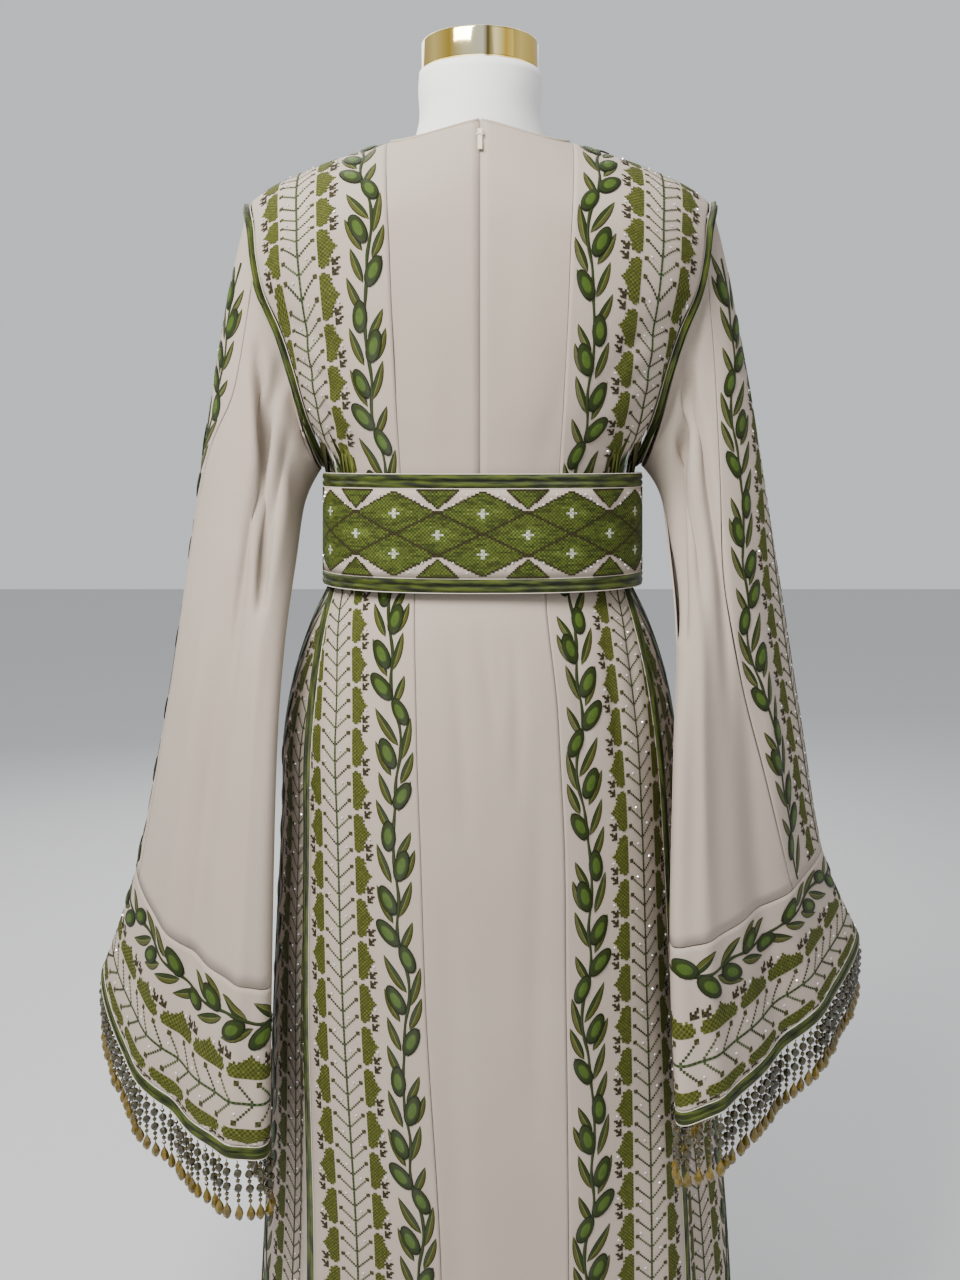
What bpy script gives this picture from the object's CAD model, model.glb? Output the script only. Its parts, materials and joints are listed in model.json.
"""Looks of the thobe robe, its belt and the dress form that wears it.

Metres, +Z up. The wearer faces -Y, the zipped back looks along +Y, and the wearer's left is +X.

Each cloth piece is a fine sheet of points on the same surface as its solid. A sheet carries its own flat
coordinates, u across from its first seam and v down it, so embroidery is worked flat and then laid on.
"""

import json
import math

import bmesh
import bpy
import numpy as np
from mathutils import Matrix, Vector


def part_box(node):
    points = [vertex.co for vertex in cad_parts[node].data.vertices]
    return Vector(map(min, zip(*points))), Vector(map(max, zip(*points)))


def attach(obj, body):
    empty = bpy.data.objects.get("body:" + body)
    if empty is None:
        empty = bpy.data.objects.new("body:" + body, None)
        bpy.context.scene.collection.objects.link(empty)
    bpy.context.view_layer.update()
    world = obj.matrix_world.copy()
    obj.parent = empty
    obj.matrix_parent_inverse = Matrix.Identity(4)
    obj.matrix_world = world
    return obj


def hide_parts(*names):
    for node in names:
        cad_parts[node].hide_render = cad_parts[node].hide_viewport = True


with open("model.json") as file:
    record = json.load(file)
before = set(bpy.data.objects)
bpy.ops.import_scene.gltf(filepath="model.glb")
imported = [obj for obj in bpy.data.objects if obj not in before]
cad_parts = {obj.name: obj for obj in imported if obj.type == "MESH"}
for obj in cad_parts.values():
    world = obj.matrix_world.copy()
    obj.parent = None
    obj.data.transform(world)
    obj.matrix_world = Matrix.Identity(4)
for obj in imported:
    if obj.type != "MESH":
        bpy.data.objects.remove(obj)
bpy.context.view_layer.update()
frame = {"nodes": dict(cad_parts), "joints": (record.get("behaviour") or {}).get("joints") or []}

rng = np.random.default_rng(7)
HANDS = ("left", "right")

# ---------------------------------------------------------------- sizes shared with the solids

WALL = 0.0016  # cloth wall
SEAM = 0.0005  # gap between neighbouring pieces
PIPING_WIDTH = 0.0120
OLIVE_STRIP = 0.043  # width of the olive-branch embroidery
SECTION_POWER = 2.4  # roundness of the body sections: 2 is an ellipse, more is squarer
WAIST_HEIGHT = 1.020

# Bodice sections from the waist to the top of the shoulders

BODICE_COLUMNS = ("height", "half_width", "back", "front", "armhole", "centre_seam")
BODICE = (
    (1.020, 0.1460, 0.1110, 0.1060, 0.1460, 0.0700),
    (1.084, 0.1475, 0.1135, 0.1120, 0.1475, 0.0718),
    (1.125, 0.1710, 0.1165, 0.1240, 0.1605, 0.0740),
    (1.166, 0.1900, 0.1175, 0.1320, 0.1705, 0.0755),
    (1.205, 0.2050, 0.1175, 0.1360, 0.1830, 0.0770),
    (1.236, 0.2200, 0.1165, 0.1340, 0.1970, 0.0780),
    (1.270, 0.2290, 0.1145, 0.1280, 0.2040, 0.0790),
    (1.300, 0.2350, 0.1110, 0.1180, 0.2075, 0.0805),
    (1.326, 0.2420, 0.1050, 0.1080, 0.2150, 0.0820),
    (1.377, 0.2500, 0.0960, 0.0960, 0.2150, 0.0855),
)
SHOULDER_TOP, SHOULDER_FALL, SHOULDER_BEND = 1.4060, 0.3200, 0.2400  # ridge height over distance out
SHOULDER_ROUND = 0.085  # height over which the shoulder rounds off
SHOULDER_END = 0.2150
BODICE_START = 0.002  # the first row, as a share of the way down
NECK_HALF_WIDTH = 0.0855
NECK_DROP = {"back": 0.0220, "front": 0.0700}
NECK_BINDING_RADIUS = 0.0022

# Skirt sections from the waist to the hem, and its seams measured round from the middle of the back
SKIRT_COLUMNS = ("height", "half_width", "back", "front", "shift")
SKIRT = (
    (1.020, 0.1450, 0.1080, 0.1040, 0.000),
    (0.964, 0.1465, 0.1105, 0.1070, 0.000),
    (0.934, 0.1610, 0.1230, 0.1180, 0.000),
    (0.900, 0.1745, 0.1330, 0.1260, 0.000),
    (0.860, 0.1860, 0.1410, 0.1340, 0.000),
    (0.820, 0.1935, 0.1470, 0.1400, 0.000),
    (0.740, 0.1990, 0.1550, 0.1500, -0.002),
    (0.600, 0.2110, 0.1680, 0.1640, -0.006),
    (0.350, 0.2320, 0.1880, 0.1850, -0.016),
    (0.020, 0.2560, 0.2070, 0.2050, -0.018),
)
SKIRT_POWER = 2.3
SEAM_COLUMNS = ("height", "centre_left", "centre_right", "side_left", "side_right")
SKIRT_SEAMS = (
    (1.020, 0.0600, 0.0600, 0.0980, 0.0960),
    (0.960, 0.0600, 0.0605, 0.1010, 0.0980),
    (0.860, 0.0575, 0.0705, 0.1090, 0.1050),
    (0.760, 0.0560, 0.0745, 0.1180, 0.1150),
    (0.600, 0.0555, 0.0725, 0.1270, 0.1240),
    (0.350, 0.0520, 0.0660, 0.1290, 0.1290),
    (0.020, 0.0540, 0.0660, 0.1300, 0.1300),
)
FRONT_SIDE_REACH = 0.62  # how far round the front, from the side, the front side panels reach
SIDE_CLEARANCE = 0.014  # least width of a side wedge, under the belt
# Folds: angle round from the middle of the back, spread, depth at the hem, sway on the way down
SKIRT_FOLDS = (
    (-3, 9, -0.0050, -5),
    (20, 8, 0.0040, -4),
    (43, 9, 0.0100, -2),
    (63, 11, -0.0200, 2),
    (88, 9, 0.0090, 3),
    (112, 12, -0.0160, 4),
    (137, 11, 0.0110, 5),
    (160, 10, -0.0120, -4),
    (184, 12, 0.0100, 3),
    (209, 11, -0.0140, -5),
    (231, 10, 0.0110, 4),
    (253, 10, -0.0150, 3),
    (272, 9, 0.0100, -4),
    (295, 11, -0.0190, 3),
    (318, 9, 0.0090, 3),
    (339, 8, 0.0030, 2),
)
FOLDS_START, FOLDS_FULL = 0.940, 0.120  # heights between which the folds grow
HEM_HEIGHT = 0.020

# Sleeve sections from the armhole to the edge of the cuff, outer fold first and then inner fold
SLEEVE_COLUMNS = ("along", "outer_x", "outer_y", "outer_z", "inner_x", "inner_y", "inner_z", "thick")
SLEEVES = {
    "left": (
        (0.00, 0.2240, 0.000, 1.3240, 0.1560, 0.000, 1.0850, 0.045),
        (0.12, 0.2375, 0.005, 1.2510, 0.1700, 0.010, 1.0500, 0.044),
        (0.30, 0.2575, 0.010, 1.1450, 0.1760, 0.050, 0.9900, 0.038),
        (0.50, 0.2845, 0.015, 0.9870, 0.1830, 0.095, 0.9050, 0.034),
        (0.70, 0.3160, 0.010, 0.8220, 0.1890, 0.122, 0.7850, 0.036),
        (0.84, 0.3520, 0.000, 0.6720, 0.1950, 0.135, 0.6000, 0.042),
        (1.00, 0.4020, -0.030, 0.5450, 0.1970, 0.155, 0.4450, 0.052),
    ),
    "right": (
        (0.00, 0.2215, 0.000, 1.3370, 0.1620, 0.000, 1.0880, 0.045),
        (0.12, 0.2355, 0.005, 1.2620, 0.1760, 0.010, 1.0550, 0.044),
        (0.30, 0.2590, 0.010, 1.1500, 0.1810, 0.050, 0.9950, 0.038),
        (0.50, 0.2880, 0.020, 0.9870, 0.1820, 0.100, 0.9150, 0.034),
        (0.70, 0.3180, 0.020, 0.8270, 0.1750, 0.142, 0.8050, 0.036),
        (0.84, 0.3460, 0.010, 0.6970, 0.1710, 0.172, 0.6550, 0.042),
        (1.00, 0.3980, -0.020, 0.5880, 0.1750, 0.202, 0.5020, 0.046),
    ),
}
FRONT_FULLNESS = (1.75, 0.90)  # the front layer bellies out more, most of all by the outer fold
CUFF_AT = 0.84  # where along the sleeve the cuff is sewn on
SLEEVE_MERGE = 0.16  # over this stretch the sleeve goes from the armhole's shape to its own
CUFF_LOBE = {"left": 0.040, "right": 0.012}  # how far the hanging edge bellies below a straight line
# The strip's back seam, measured round from the outer fold
STRIP_COLUMNS = ("along", "left", "right")
STRIP_SEAM = (
    (0.00, 0.058, 0.056),
    (0.12, 0.057, 0.066),
    (0.24, 0.050, 0.076),
    (0.38, 0.020, 0.082),
    (0.60, 0.010, 0.082),
    (0.84, 0.020, 0.080),
)
SLEEVE_STRIP, SLEEVE_LEAN, FOLD_GAP = 0.108, 0.76, 0.0016
# Hanging folds: place across from the outer fold, spread, depth, start, end
SLEEVE_CREASES = (
    (0.60, 0.050, -0.0080, 0.02, 0.62),
    (0.78, 0.045, -0.0060, 0.10, 0.45),
    (0.50, 0.080, -0.0100, 0.60, 1.30),
    (0.30, 0.070, 0.0060, 0.55, 1.30),
    (0.82, 0.060, 0.0060, 0.50, 1.30),
)

BELT_TOP, BELT_BOTTOM = 1.0715, 0.9650
BELT_HALF_WIDTH, BELT_BACK, BELT_FRONT = 0.1540, 0.1185, 0.1165
BELT_FLARE, BELT_SHIFT, BELT_PIPING_WIDTH = 0.0020, -0.0025, 0.0130

# Sections of the dress form from its underside to the top of its neck
FORM_COLUMNS = ("height", "half_width", "half_depth")
FORM = (
    (0.800, 0.1560, 0.1120),
    (0.850, 0.1620, 0.1180),
    (0.900, 0.1540, 0.1120),
    (0.960, 0.1400, 0.1010),
    (1.020, 0.1350, 0.0960),
    (1.080, 0.1380, 0.0990),
    (1.140, 0.1500, 0.1040),
    (1.200, 0.1700, 0.1070),
    (1.250, 0.1840, 0.1050),
    (1.290, 0.1880, 0.0960),
    (1.320, 0.1740, 0.0820),
    (1.342, 0.1380, 0.0700),
    (1.358, 0.0960, 0.0620),
    (1.372, 0.0690, 0.0590),
    (1.392, 0.0590, 0.0585),
    (1.430, 0.0580, 0.0580),
    (1.442, 0.0570, 0.0570),
)
CAP_RADIUS, CAP_BOTTOM, CAP_TOP, CAP_EDGE = 0.0545, 1.4430, 1.4695, 0.0022
BASE_RADIUS, BASE_HEIGHT, BASE_EDGE = 0.1600, 0.0160, 0.0030

# ---------------------------------------------------------------- tables and curves


def smooth(at, places, values):
    """The values read at any place along a table, with rounded corners at its rows."""
    order = np.argsort(places)
    places = np.asarray(places, float)[order]
    values = np.asarray(values, float)[order]
    slopes = np.gradient(values, places)
    at = np.clip(at, places[0], places[-1])
    row = np.clip(np.searchsorted(places, at, side="right") - 1, 0, len(places) - 2)
    span = places[row + 1] - places[row]
    part = (at - places[row]) / span
    rise = values[row + 1] - values[row]
    ease = part * part * (3 - 2 * part)
    lead = span * slopes[row] * part * (1 - part) ** 2
    trail = span * slopes[row + 1] * part * part * (1 - part)
    return values[row] + rise * ease + lead - trail


def read(table, columns, name, at):
    index = columns.index(name)
    return smooth(at, [row[0] for row in table], [row[index] for row in table])


def lengths_along(points):
    steps = np.linalg.norm(np.diff(points, axis=0), axis=1)
    return np.concatenate([[0.0], np.cumsum(steps)])


def at_lengths(points, wanted):
    lengths = lengths_along(points)
    return np.stack([np.interp(wanted, lengths, points[:, axis]) for axis in range(3)], axis=1)


def signed_power(value, power):
    return np.sign(value) * np.abs(value) ** power


def unit(vectors):
    return vectors / np.maximum(np.linalg.norm(vectors, axis=-1, keepdims=True), 1e-12)


def mirror_x(points):
    return points * np.array([-1.0, 1.0, 1.0])


# ---------------------------------------------------------------- the three surfaces


def shoulder_height(out):
    return SHOULDER_TOP - SHOULDER_FALL * out - SHOULDER_BEND * out * out


def neck_height(out, face):
    inside = np.clip(1 - (out / NECK_HALF_WIDTH) ** 2, 0, 1)
    return shoulder_height(out) - NECK_DROP[face] * np.sqrt(inside)


def bodice_limits(piece, height):
    half_width = read(BODICE, BODICE_COLUMNS, "half_width", height)
    seam = read(BODICE, BODICE_COLUMNS, "centre_seam", height)
    armhole = np.minimum(read(BODICE, BODICE_COLUMNS, "armhole", height), half_width)
    return (0 * seam, seam) if piece == "centre" else (seam, armhole)


def bodice_points(piece, face, down, across):
    """One half of a bodice piece: rows run down from the shoulder, columns run outwards."""
    down, across = np.meshgrid(down, across, indexing="ij")
    top_limits = (0.0, NECK_HALF_WIDTH) if piece == "centre" else (NECK_HALF_WIDTH, SHOULDER_END)
    top_out = top_limits[0] + (top_limits[1] - top_limits[0]) * across
    ridge = shoulder_height(top_out)
    start = neck_height(top_out, face) if piece == "centre" else ridge
    height = WAIST_HEIGHT + (start - WAIST_HEIGHT) * (1 - down * down)
    half_width = read(BODICE, BODICE_COLUMNS, "half_width", height)
    depth = read(BODICE, BODICE_COLUMNS, face, height)
    turn = [
        np.arccos(np.clip(limit / half_width, 0, 1) ** (SECTION_POWER / 2))
        for limit in bodice_limits(piece, height)
    ]
    turn = turn[0] + (turn[1] - turn[0]) * across
    fall = np.clip((ridge - height) / SHOULDER_ROUND, 0, 1)
    rounding = np.sqrt(1 - (1 - fall) ** 2)
    out = half_width * np.cos(turn) ** (2 / SECTION_POWER)
    away = depth * np.clip(np.sin(turn), 0, 1) ** (2 / SECTION_POWER) * rounding
    return np.stack([out, away if face == "back" else -away, height], axis=-1)


def armhole_loop(count):
    edges = []
    for face in ("back", "front"):
        edge = bodice_points("side", face, np.linspace(BODICE_START, 1.0, 240), np.array([1.0]))[:, 0]
        edges.append(edge[edge[:, 2] > BODICE[1][0]])
    turns = np.linspace(0.0, 2 * math.pi, count)
    share = (1 - np.cos(turns)) / 2
    loops = [at_lengths(edge, share * lengths_along(edge)[-1]) for edge in edges]
    return np.where((turns <= math.pi)[:, None], loops[0], loops[1])


def skirt_ring(height):
    turn = np.linspace(0.0, 2 * math.pi, 721)
    size = {name: read(SKIRT, SKIRT_COLUMNS, name, height) for name in SKIRT_COLUMNS[1:]}
    growth = np.clip((FOLDS_START - height) / (FOLDS_START - FOLDS_FULL), 0, 1)
    growth = growth * growth * (3 - 2 * growth)
    push = np.zeros_like(turn)
    for angle, spread, depth, sway in SKIRT_FOLDS:
        middle = math.radians(angle + sway * growth)
        gap = (turn - middle + math.pi) % (2 * math.pi) - math.pi
        push += depth * growth * np.exp(-((gap / math.radians(spread)) ** 2))
    across = signed_power(np.sin(turn), 2 / SKIRT_POWER)
    along = signed_power(np.cos(turn), 2 / SKIRT_POWER)
    depth = np.where(along > 0, size["back"], size["front"])
    x = size["shift"] + (size["half_width"] + push) * across
    y = (depth + push) * along
    return np.stack([x, y, np.full_like(x, height)], axis=1)


def skirt_seams(height, ring):
    """Edges of the pieces at this height, as distances round the ring; the right side is negative."""
    lengths = lengths_along(ring)
    around = lengths[-1]
    quarter = len(lengths) // 4
    sides = (lengths[quarter], around - lengths[3 * quarter])
    places = {"around": around}
    for hand, side in zip(HANDS, sides):
        centre = read(SKIRT_SEAMS, SEAM_COLUMNS, "centre_" + hand, height)
        inner = centre + read(SKIRT_SEAMS, SEAM_COLUMNS, "side_" + hand, height)
        outer = max(side - PIPING_WIDTH / 2, inner + PIPING_WIDTH + SIDE_CLEARANCE)
        front = outer + PIPING_WIDTH + FRONT_SIDE_REACH * (around / 2 - outer - PIPING_WIDTH)
        places[hand] = (centre, inner, inner + PIPING_WIDTH, outer, outer + PIPING_WIDTH, front)
    return places


# Rows lie closer together under the belt, where the skirt swells
SKIRT_SWELL = 0.84
SKIRT_HEIGHTS = np.concatenate([
    np.linspace(WAIST_HEIGHT - SEAM, SKIRT_SWELL, 28)[:-1],
    np.linspace(SKIRT_SWELL, HEM_HEIGHT, 62),
])
SKIRT_RINGS = [skirt_ring(height) for height in SKIRT_HEIGHTS]
SKIRT_PLACES = [skirt_seams(height, ring) for height, ring in zip(SKIRT_HEIGHTS, SKIRT_RINGS)]


def skirt_piece(edges, columns):
    rows = []
    for ring, places in zip(SKIRT_RINGS, SKIRT_PLACES):
        start, end = edges(places)
        wanted = start + SEAM / 2 + (end - start - SEAM) * np.linspace(0, 1, columns)
        rows.append(at_lengths(np.concatenate([ring, ring[1:]]), wanted % (2 * places["around"])))
    return np.array(rows)


def sleeve_section(hand, along, turns):
    names = SLEEVE_COLUMNS[1:]
    value = {name: read(SLEEVES[hand], SLEEVE_COLUMNS, name, along) for name in names}
    outer = np.array([value["outer_x"], value["outer_y"], value["outer_z"]])
    inner = np.array([value["inner_x"], value["inner_y"], value["inner_z"]])
    share = (1 - np.cos(turns)) / 2
    side = np.where(turns <= math.pi, 1.0, -1.0)
    front = FRONT_FULLNESS[0] + share * (FRONT_FULLNESS[1] - FRONT_FULLNESS[0])
    fullness = np.where(turns <= math.pi, 1.0, front)
    offset = side * value["thick"] * fullness * np.abs(np.sin(turns)) ** 0.9
    for place, spread, depth, start, end in SLEEVE_CREASES:
        middle, half = (start + end) / 2, (end - start) / 2
        fade = math.exp(-(((along - middle) / half) ** 4))
        offset = offset + side * depth * fade * np.exp(-(((share - place) / spread) ** 2))
    lobe = max(0.0, (along - 0.5) / 0.5) ** 2 * CUFF_LOBE[hand]
    points = outer + share[:, None] * (inner - outer)
    points[:, 1] += offset
    points[:, 2] -= lobe * np.sin(math.pi * share**0.7)
    return points


def sleeve_sheet(hand, rows=121, count=240):
    turns = np.linspace(0.0, 2 * math.pi, count)
    loop = armhole_loop(count)
    sheet = []
    for along in np.linspace(0.0, 1.0, rows):
        part = min(1.0, along / SLEEVE_MERGE)
        part = part * (2 - part)
        sheet.append(loop + part * (sleeve_section(hand, along, turns) - loop))
    return np.array(sheet)


def sleeve_row(sheet, along, trim):
    """A line of points round the sleeve, moved this far down the cloth, or up it where trim is negative."""
    place = np.full(sheet.shape[1], along * (len(sheet) - 1))
    if trim:
        for column in range(sheet.shape[1]):
            lengths = lengths_along(sheet[:, column])
            wanted = np.interp(place[column], np.arange(len(sheet)), lengths) + trim
            place[column] = np.interp(wanted, lengths, np.arange(len(sheet)))
    row = np.clip(place.astype(int), 0, len(sheet) - 2)
    part = (place - row)[:, None]
    columns = np.arange(sheet.shape[1])
    return sheet[row, columns] * (1 - part) + sheet[row + 1, columns] * part


def sleeve_piece(sheet, rows, edges, columns, trim_in=SEAM / 2, trim_out=SEAM / 2):
    grid = []
    for along, trim in rows:
        ring = sleeve_row(sheet, along, trim)
        lengths = lengths_along(ring)
        around, inner = lengths[-1], lengths[len(ring) // 2]
        start, end = edges(along, inner, around)
        wanted = start + trim_in + (end - start - trim_in - trim_out) * np.linspace(0, 1, columns)
        grid.append(at_lengths(np.concatenate([ring, ring[1:], ring[1:]]), wanted + around))
    return np.array(grid)


def belt_ring(height, count):
    share = (BELT_TOP - height) / (BELT_TOP - BELT_BOTTOM)
    grow = BELT_FLARE * share
    lap = math.radians(0.08)
    turn = np.linspace(lap, 2 * math.pi - lap, count)
    across = signed_power(np.sin(turn), 2 / SECTION_POWER)
    along = -signed_power(np.cos(turn), 2 / SECTION_POWER)
    depth = np.where(along > 0, BELT_BACK, BELT_FRONT)
    x = BELT_SHIFT + (BELT_HALF_WIDTH + grow) * across
    ring = np.stack([x, (depth + grow) * along, np.full_like(x, height)], axis=1)
    return at_lengths(ring, np.linspace(0, lengths_along(ring)[-1], count))


# ---------------------------------------------------------------- sheets with flat coordinates

SEAM_HOLD = (0.004, 0.080)  # down from a seam, a fold is nothing at the first place and whole at the second


def sample(field, row, column):
    """A grid's values read between its points."""
    row = np.clip(row, 0, field.shape[0] - 1.0001)
    column = np.clip(column, 0, field.shape[1] - 1.0001)
    low_row, low_column = row.astype(int), column.astype(int)
    down, across = row - low_row, column - low_column
    if field.ndim == 3:
        down, across = down[:, None], across[:, None]
    left = field[low_row, low_column] * (1 - down) + field[low_row + 1, low_column] * down
    right = field[low_row, low_column + 1] * (1 - down) + field[low_row + 1, low_column + 1] * down
    return left * (1 - across) + right * across


class Cloth:
    """A sheet of points with flat coordinates: u across from its first column, v down that column.

    nominal gives a sheet whose u is its share across times that width, for a band worked to fit its edges.
    """

    def __init__(self, points, middle, nominal=None):
        self.middle = np.asarray(middle, float)
        self.nominal = nominal
        self.set_points(np.asarray(points, float))

    def set_points(self, points):
        self.points = points
        down = np.gradient(points, axis=0)
        across = np.gradient(points, axis=1)
        normals = unit(np.cross(down, across))
        self.facing = 1.0 if np.sum(normals * (points - self.middle)) > 0 else -1.0
        self.normals = normals * self.facing
        steps = np.diff(points, axis=1)
        start = np.zeros((len(points), 1))
        if self.nominal:
            share = np.linspace(0, self.nominal, points.shape[1])
            self.u = np.broadcast_to(share, points.shape[:2]).copy()
            halfway = lengths_along(points[:, points.shape[1] // 2])
            self.v = np.broadcast_to(halfway[:, None], points.shape[:2]).copy()
        else:
            along = unit(down)
            slip = np.sum(steps * unit(along[:, 1:] + along[:, :-1]), axis=2)
            width = np.sqrt(np.maximum(np.sum(steps * steps, axis=2) - slip * slip, 1e-14))
            self.u = np.concatenate([start, np.cumsum(width, axis=1)], axis=1)
            slips = np.concatenate([start, np.cumsum(slip, axis=1)], axis=1)
            self.v = lengths_along(points[:, 0])[:, None] + slips
        self.slopes = [*np.gradient(self.u), *np.gradient(self.v)]

    def size(self):
        """The widest row, the longest column and the area."""
        across = np.linalg.norm(np.diff(self.points, axis=1), axis=2).sum(axis=1).max()
        down = np.linalg.norm(np.diff(self.points, axis=0), axis=2).sum(axis=0).max()
        one = self.points[1:, :-1] - self.points[:-1, :-1]
        two = self.points[:-1, 1:] - self.points[:-1, :-1]
        three = self.points[1:, :-1] - self.points[1:, 1:]
        four = self.points[:-1, 1:] - self.points[1:, 1:]
        area = np.linalg.norm(np.cross(one, two), axis=2) + np.linalg.norm(np.cross(three, four), axis=2)
        return across, down, area.sum() / 2

    def press(self, troughs, upright=False):
        """Presses soft folds in. A trough is a line of points, its half width and its depth.

        The points are (u, v), or (x, z) where upright is true.
        """
        push = np.zeros(self.u.shape)
        first, second = (self.points[..., 0], self.points[..., 2]) if upright else (self.u, self.v)
        for line, spread, depth in troughs:
            line = np.asarray(line, float)
            nearest = np.full(self.u.shape, 1e9)
            share = np.zeros(self.u.shape)
            total = np.linalg.norm(np.diff(line, axis=0), axis=1).sum()
            so_far = 0.0
            for start, end in zip(line[:-1], line[1:]):
                step = end - start
                length = np.linalg.norm(step)
                part = ((first - start[0]) * step[0] + (second - start[1]) * step[1]) / length**2
                part = np.clip(part, 0, 1)
                gap = np.hypot(first - start[0] - part * step[0], second - start[1] - part * step[1])
                closer = gap < nearest
                share = np.where(closer, (so_far + part * length) / total, share)
                nearest = np.minimum(nearest, gap)
                so_far += length
            fade = np.sin(math.pi * np.clip(share * 0.86 + 0.07, 0, 1)) ** 0.7
            push -= depth * fade * np.exp(-((nearest / spread) ** 2))
        # The seam along the top holds the cloth where it is
        push *= smooth(self.v - self.v[:1], SEAM_HOLD, (0.0, 1.0))
        self.set_points(self.points + self.normals * push[..., None])
        return self

    def find(self, u, v):
        """Row and column of flat places, and which of them lie on the sheet."""
        rows, columns = self.u.shape
        row = np.interp(v, self.v[:, 0], np.arange(rows))
        column = np.clip(u / self.u[:, -1].max(), 0, 1) * (columns - 1)
        for _ in range(14):
            u_down, u_across, v_down, v_across = [sample(s, row, column) for s in self.slopes]
            miss_u = u - sample(self.u, row, column)
            miss_v = v - sample(self.v, row, column)
            spread = u_down * v_across - u_across * v_down
            spread = np.where(np.abs(spread) < 1e-9, -1e-9, spread)
            row = row + np.clip((miss_u * v_across - u_across * miss_v) / spread, -6, 6)
            column = column + np.clip((u_down * miss_v - miss_u * v_down) / spread, -6, 6)
            row = np.clip(row, -1.5, rows + 0.5)
            column = np.clip(column, -1.5, columns + 0.5)
        inside = (row > -0.01) & (row < rows - 0.99) & (column > -0.01) & (column < columns - 0.99)
        return row, column, inside

    def place(self, u, v, lift):
        """Points that stand this far off the cloth at flat places."""
        row, column = self.find(u, v)[:2]
        return sample(self.points, row, column) + sample(self.normals, row, column) * lift[:, None]


# ---------------------------------------------------------------- node materials


class Shader:
    """A material's node tree, with short calls for the nodes the finishes share."""

    def __init__(self, name, roughness, metallic=0.0, sheen=0.0, coat=0.0, specular=0.5, transmission=0.0):
        self.material = bpy.data.materials.new(name)
        self.material.use_nodes = True
        self.nodes = self.material.node_tree.nodes
        self.links = self.material.node_tree.links
        self.surface = self.nodes["Principled BSDF"]
        settings = {
            "Roughness": roughness,
            "Metallic": metallic,
            "Sheen Weight": sheen,
            "Coat Weight": coat,
            "Specular IOR Level": specular,
            "Transmission Weight": transmission,
        }
        for socket, value in settings.items():
            self.surface.inputs[socket].default_value = value

    def put(self, socket, value):
        if hasattr(value, "is_output"):
            self.links.new(value, socket)
        elif value is not None:
            socket.default_value = value

    def math(self, operation, first, second=None, third=None):
        node = self.nodes.new("ShaderNodeMath")
        node.operation = operation
        for socket, value in zip(node.inputs, (first, second, third)):
            self.put(socket, value)
        return node.outputs[0]

    def mix(self, share, first, second, blend="MIX"):
        node = self.nodes.new("ShaderNodeMix")
        node.data_type = "RGBA"
        node.blend_type = blend
        self.put(node.inputs[0], share)
        for socket, value in ((node.inputs[6], first), (node.inputs[7], second)):
            self.put(socket, (*value, 1.0) if isinstance(value, tuple) else value)
        return node.outputs[2]

    def coordinates(self, kind, scale=(1.0, 1.0, 1.0), turn=0.0):
        node = self.nodes.new("ShaderNodeTexCoord")
        mapping = self.nodes.new("ShaderNodeMapping")
        mapping.inputs["Scale"].default_value = scale
        mapping.inputs["Rotation"].default_value = (0, 0, turn)
        self.links.new(node.outputs[kind], mapping.inputs["Vector"])
        return mapping.outputs[0]

    def noise(self, where, scale, detail=2.0):
        node = self.nodes.new("ShaderNodeTexNoise")
        self.links.new(where, node.inputs["Vector"])
        node.inputs["Scale"].default_value = scale
        node.inputs["Detail"].default_value = detail
        return node.outputs["Fac"]

    def ridges(self, where, scale, direction="X", wobble=0.0):
        node = self.nodes.new("ShaderNodeTexWave")
        node.bands_direction = direction
        self.links.new(where, node.inputs["Vector"])
        node.inputs["Scale"].default_value = scale
        node.inputs["Distortion"].default_value = wobble
        node.inputs["Detail"].default_value = 1.0
        return node.outputs["Fac"]

    def ramp(self, value, stops):
        node = self.nodes.new("ShaderNodeValToRGB")
        ramp = node.color_ramp
        while len(ramp.elements) < len(stops):
            ramp.elements.new(0.5)
        for element, (place, colour) in zip(ramp.elements, stops):
            element.position = place
            element.color = (*colour, 1.0)
        self.links.new(value, node.inputs[0])
        return node.outputs[0]

    def attribute(self, name):
        node = self.nodes.new("ShaderNodeAttribute")
        node.attribute_name = name
        return node.outputs["Color"]

    def split(self, where):
        node = self.nodes.new("ShaderNodeSeparateXYZ")
        self.links.new(where, node.inputs[0])
        return node.outputs

    def finish(self, colour=None, height=None, depth=0.0002, strength=0.4, roughness=None):
        self.put(self.surface.inputs["Base Color"], (*colour, 1.0) if isinstance(colour, tuple) else colour)
        if roughness is not None:
            self.put(self.surface.inputs["Roughness"], roughness)
        if height is not None:
            bump = self.nodes.new("ShaderNodeBump")
            bump.inputs["Strength"].default_value = strength
            bump.inputs["Distance"].default_value = depth
            self.links.new(height, bump.inputs["Height"])
            self.links.new(bump.outputs[0], self.surface.inputs["Normal"])
        return self.material


def crepe_finish():
    """Matt greige crepe: a fine pebbled weave, with faint unevenness in the dye."""
    s = Shader("crepe", 0.85, sheen=0.04, specular=0.15)
    flat = s.coordinates("UV")
    weave = s.math("ADD", s.ridges(flat, 700.0, "X", 3.0), s.ridges(flat, 560.0, "Y", 3.0))
    pebble = s.noise(flat, 1500.0, 3.0)
    height = s.math("ADD", s.math("MULTIPLY", weave, 0.35), pebble)
    cloudy = s.noise(s.coordinates("Object"), 9.0, 3.0)
    base = s.mix(cloudy, (0.405, 0.337, 0.276), (0.452, 0.381, 0.316))
    fleck = s.mix(s.math("MULTIPLY", pebble, 0.16), base, (0.24, 0.20, 0.16))
    return s.finish(fleck, height, 0.00025, 0.55)


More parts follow.
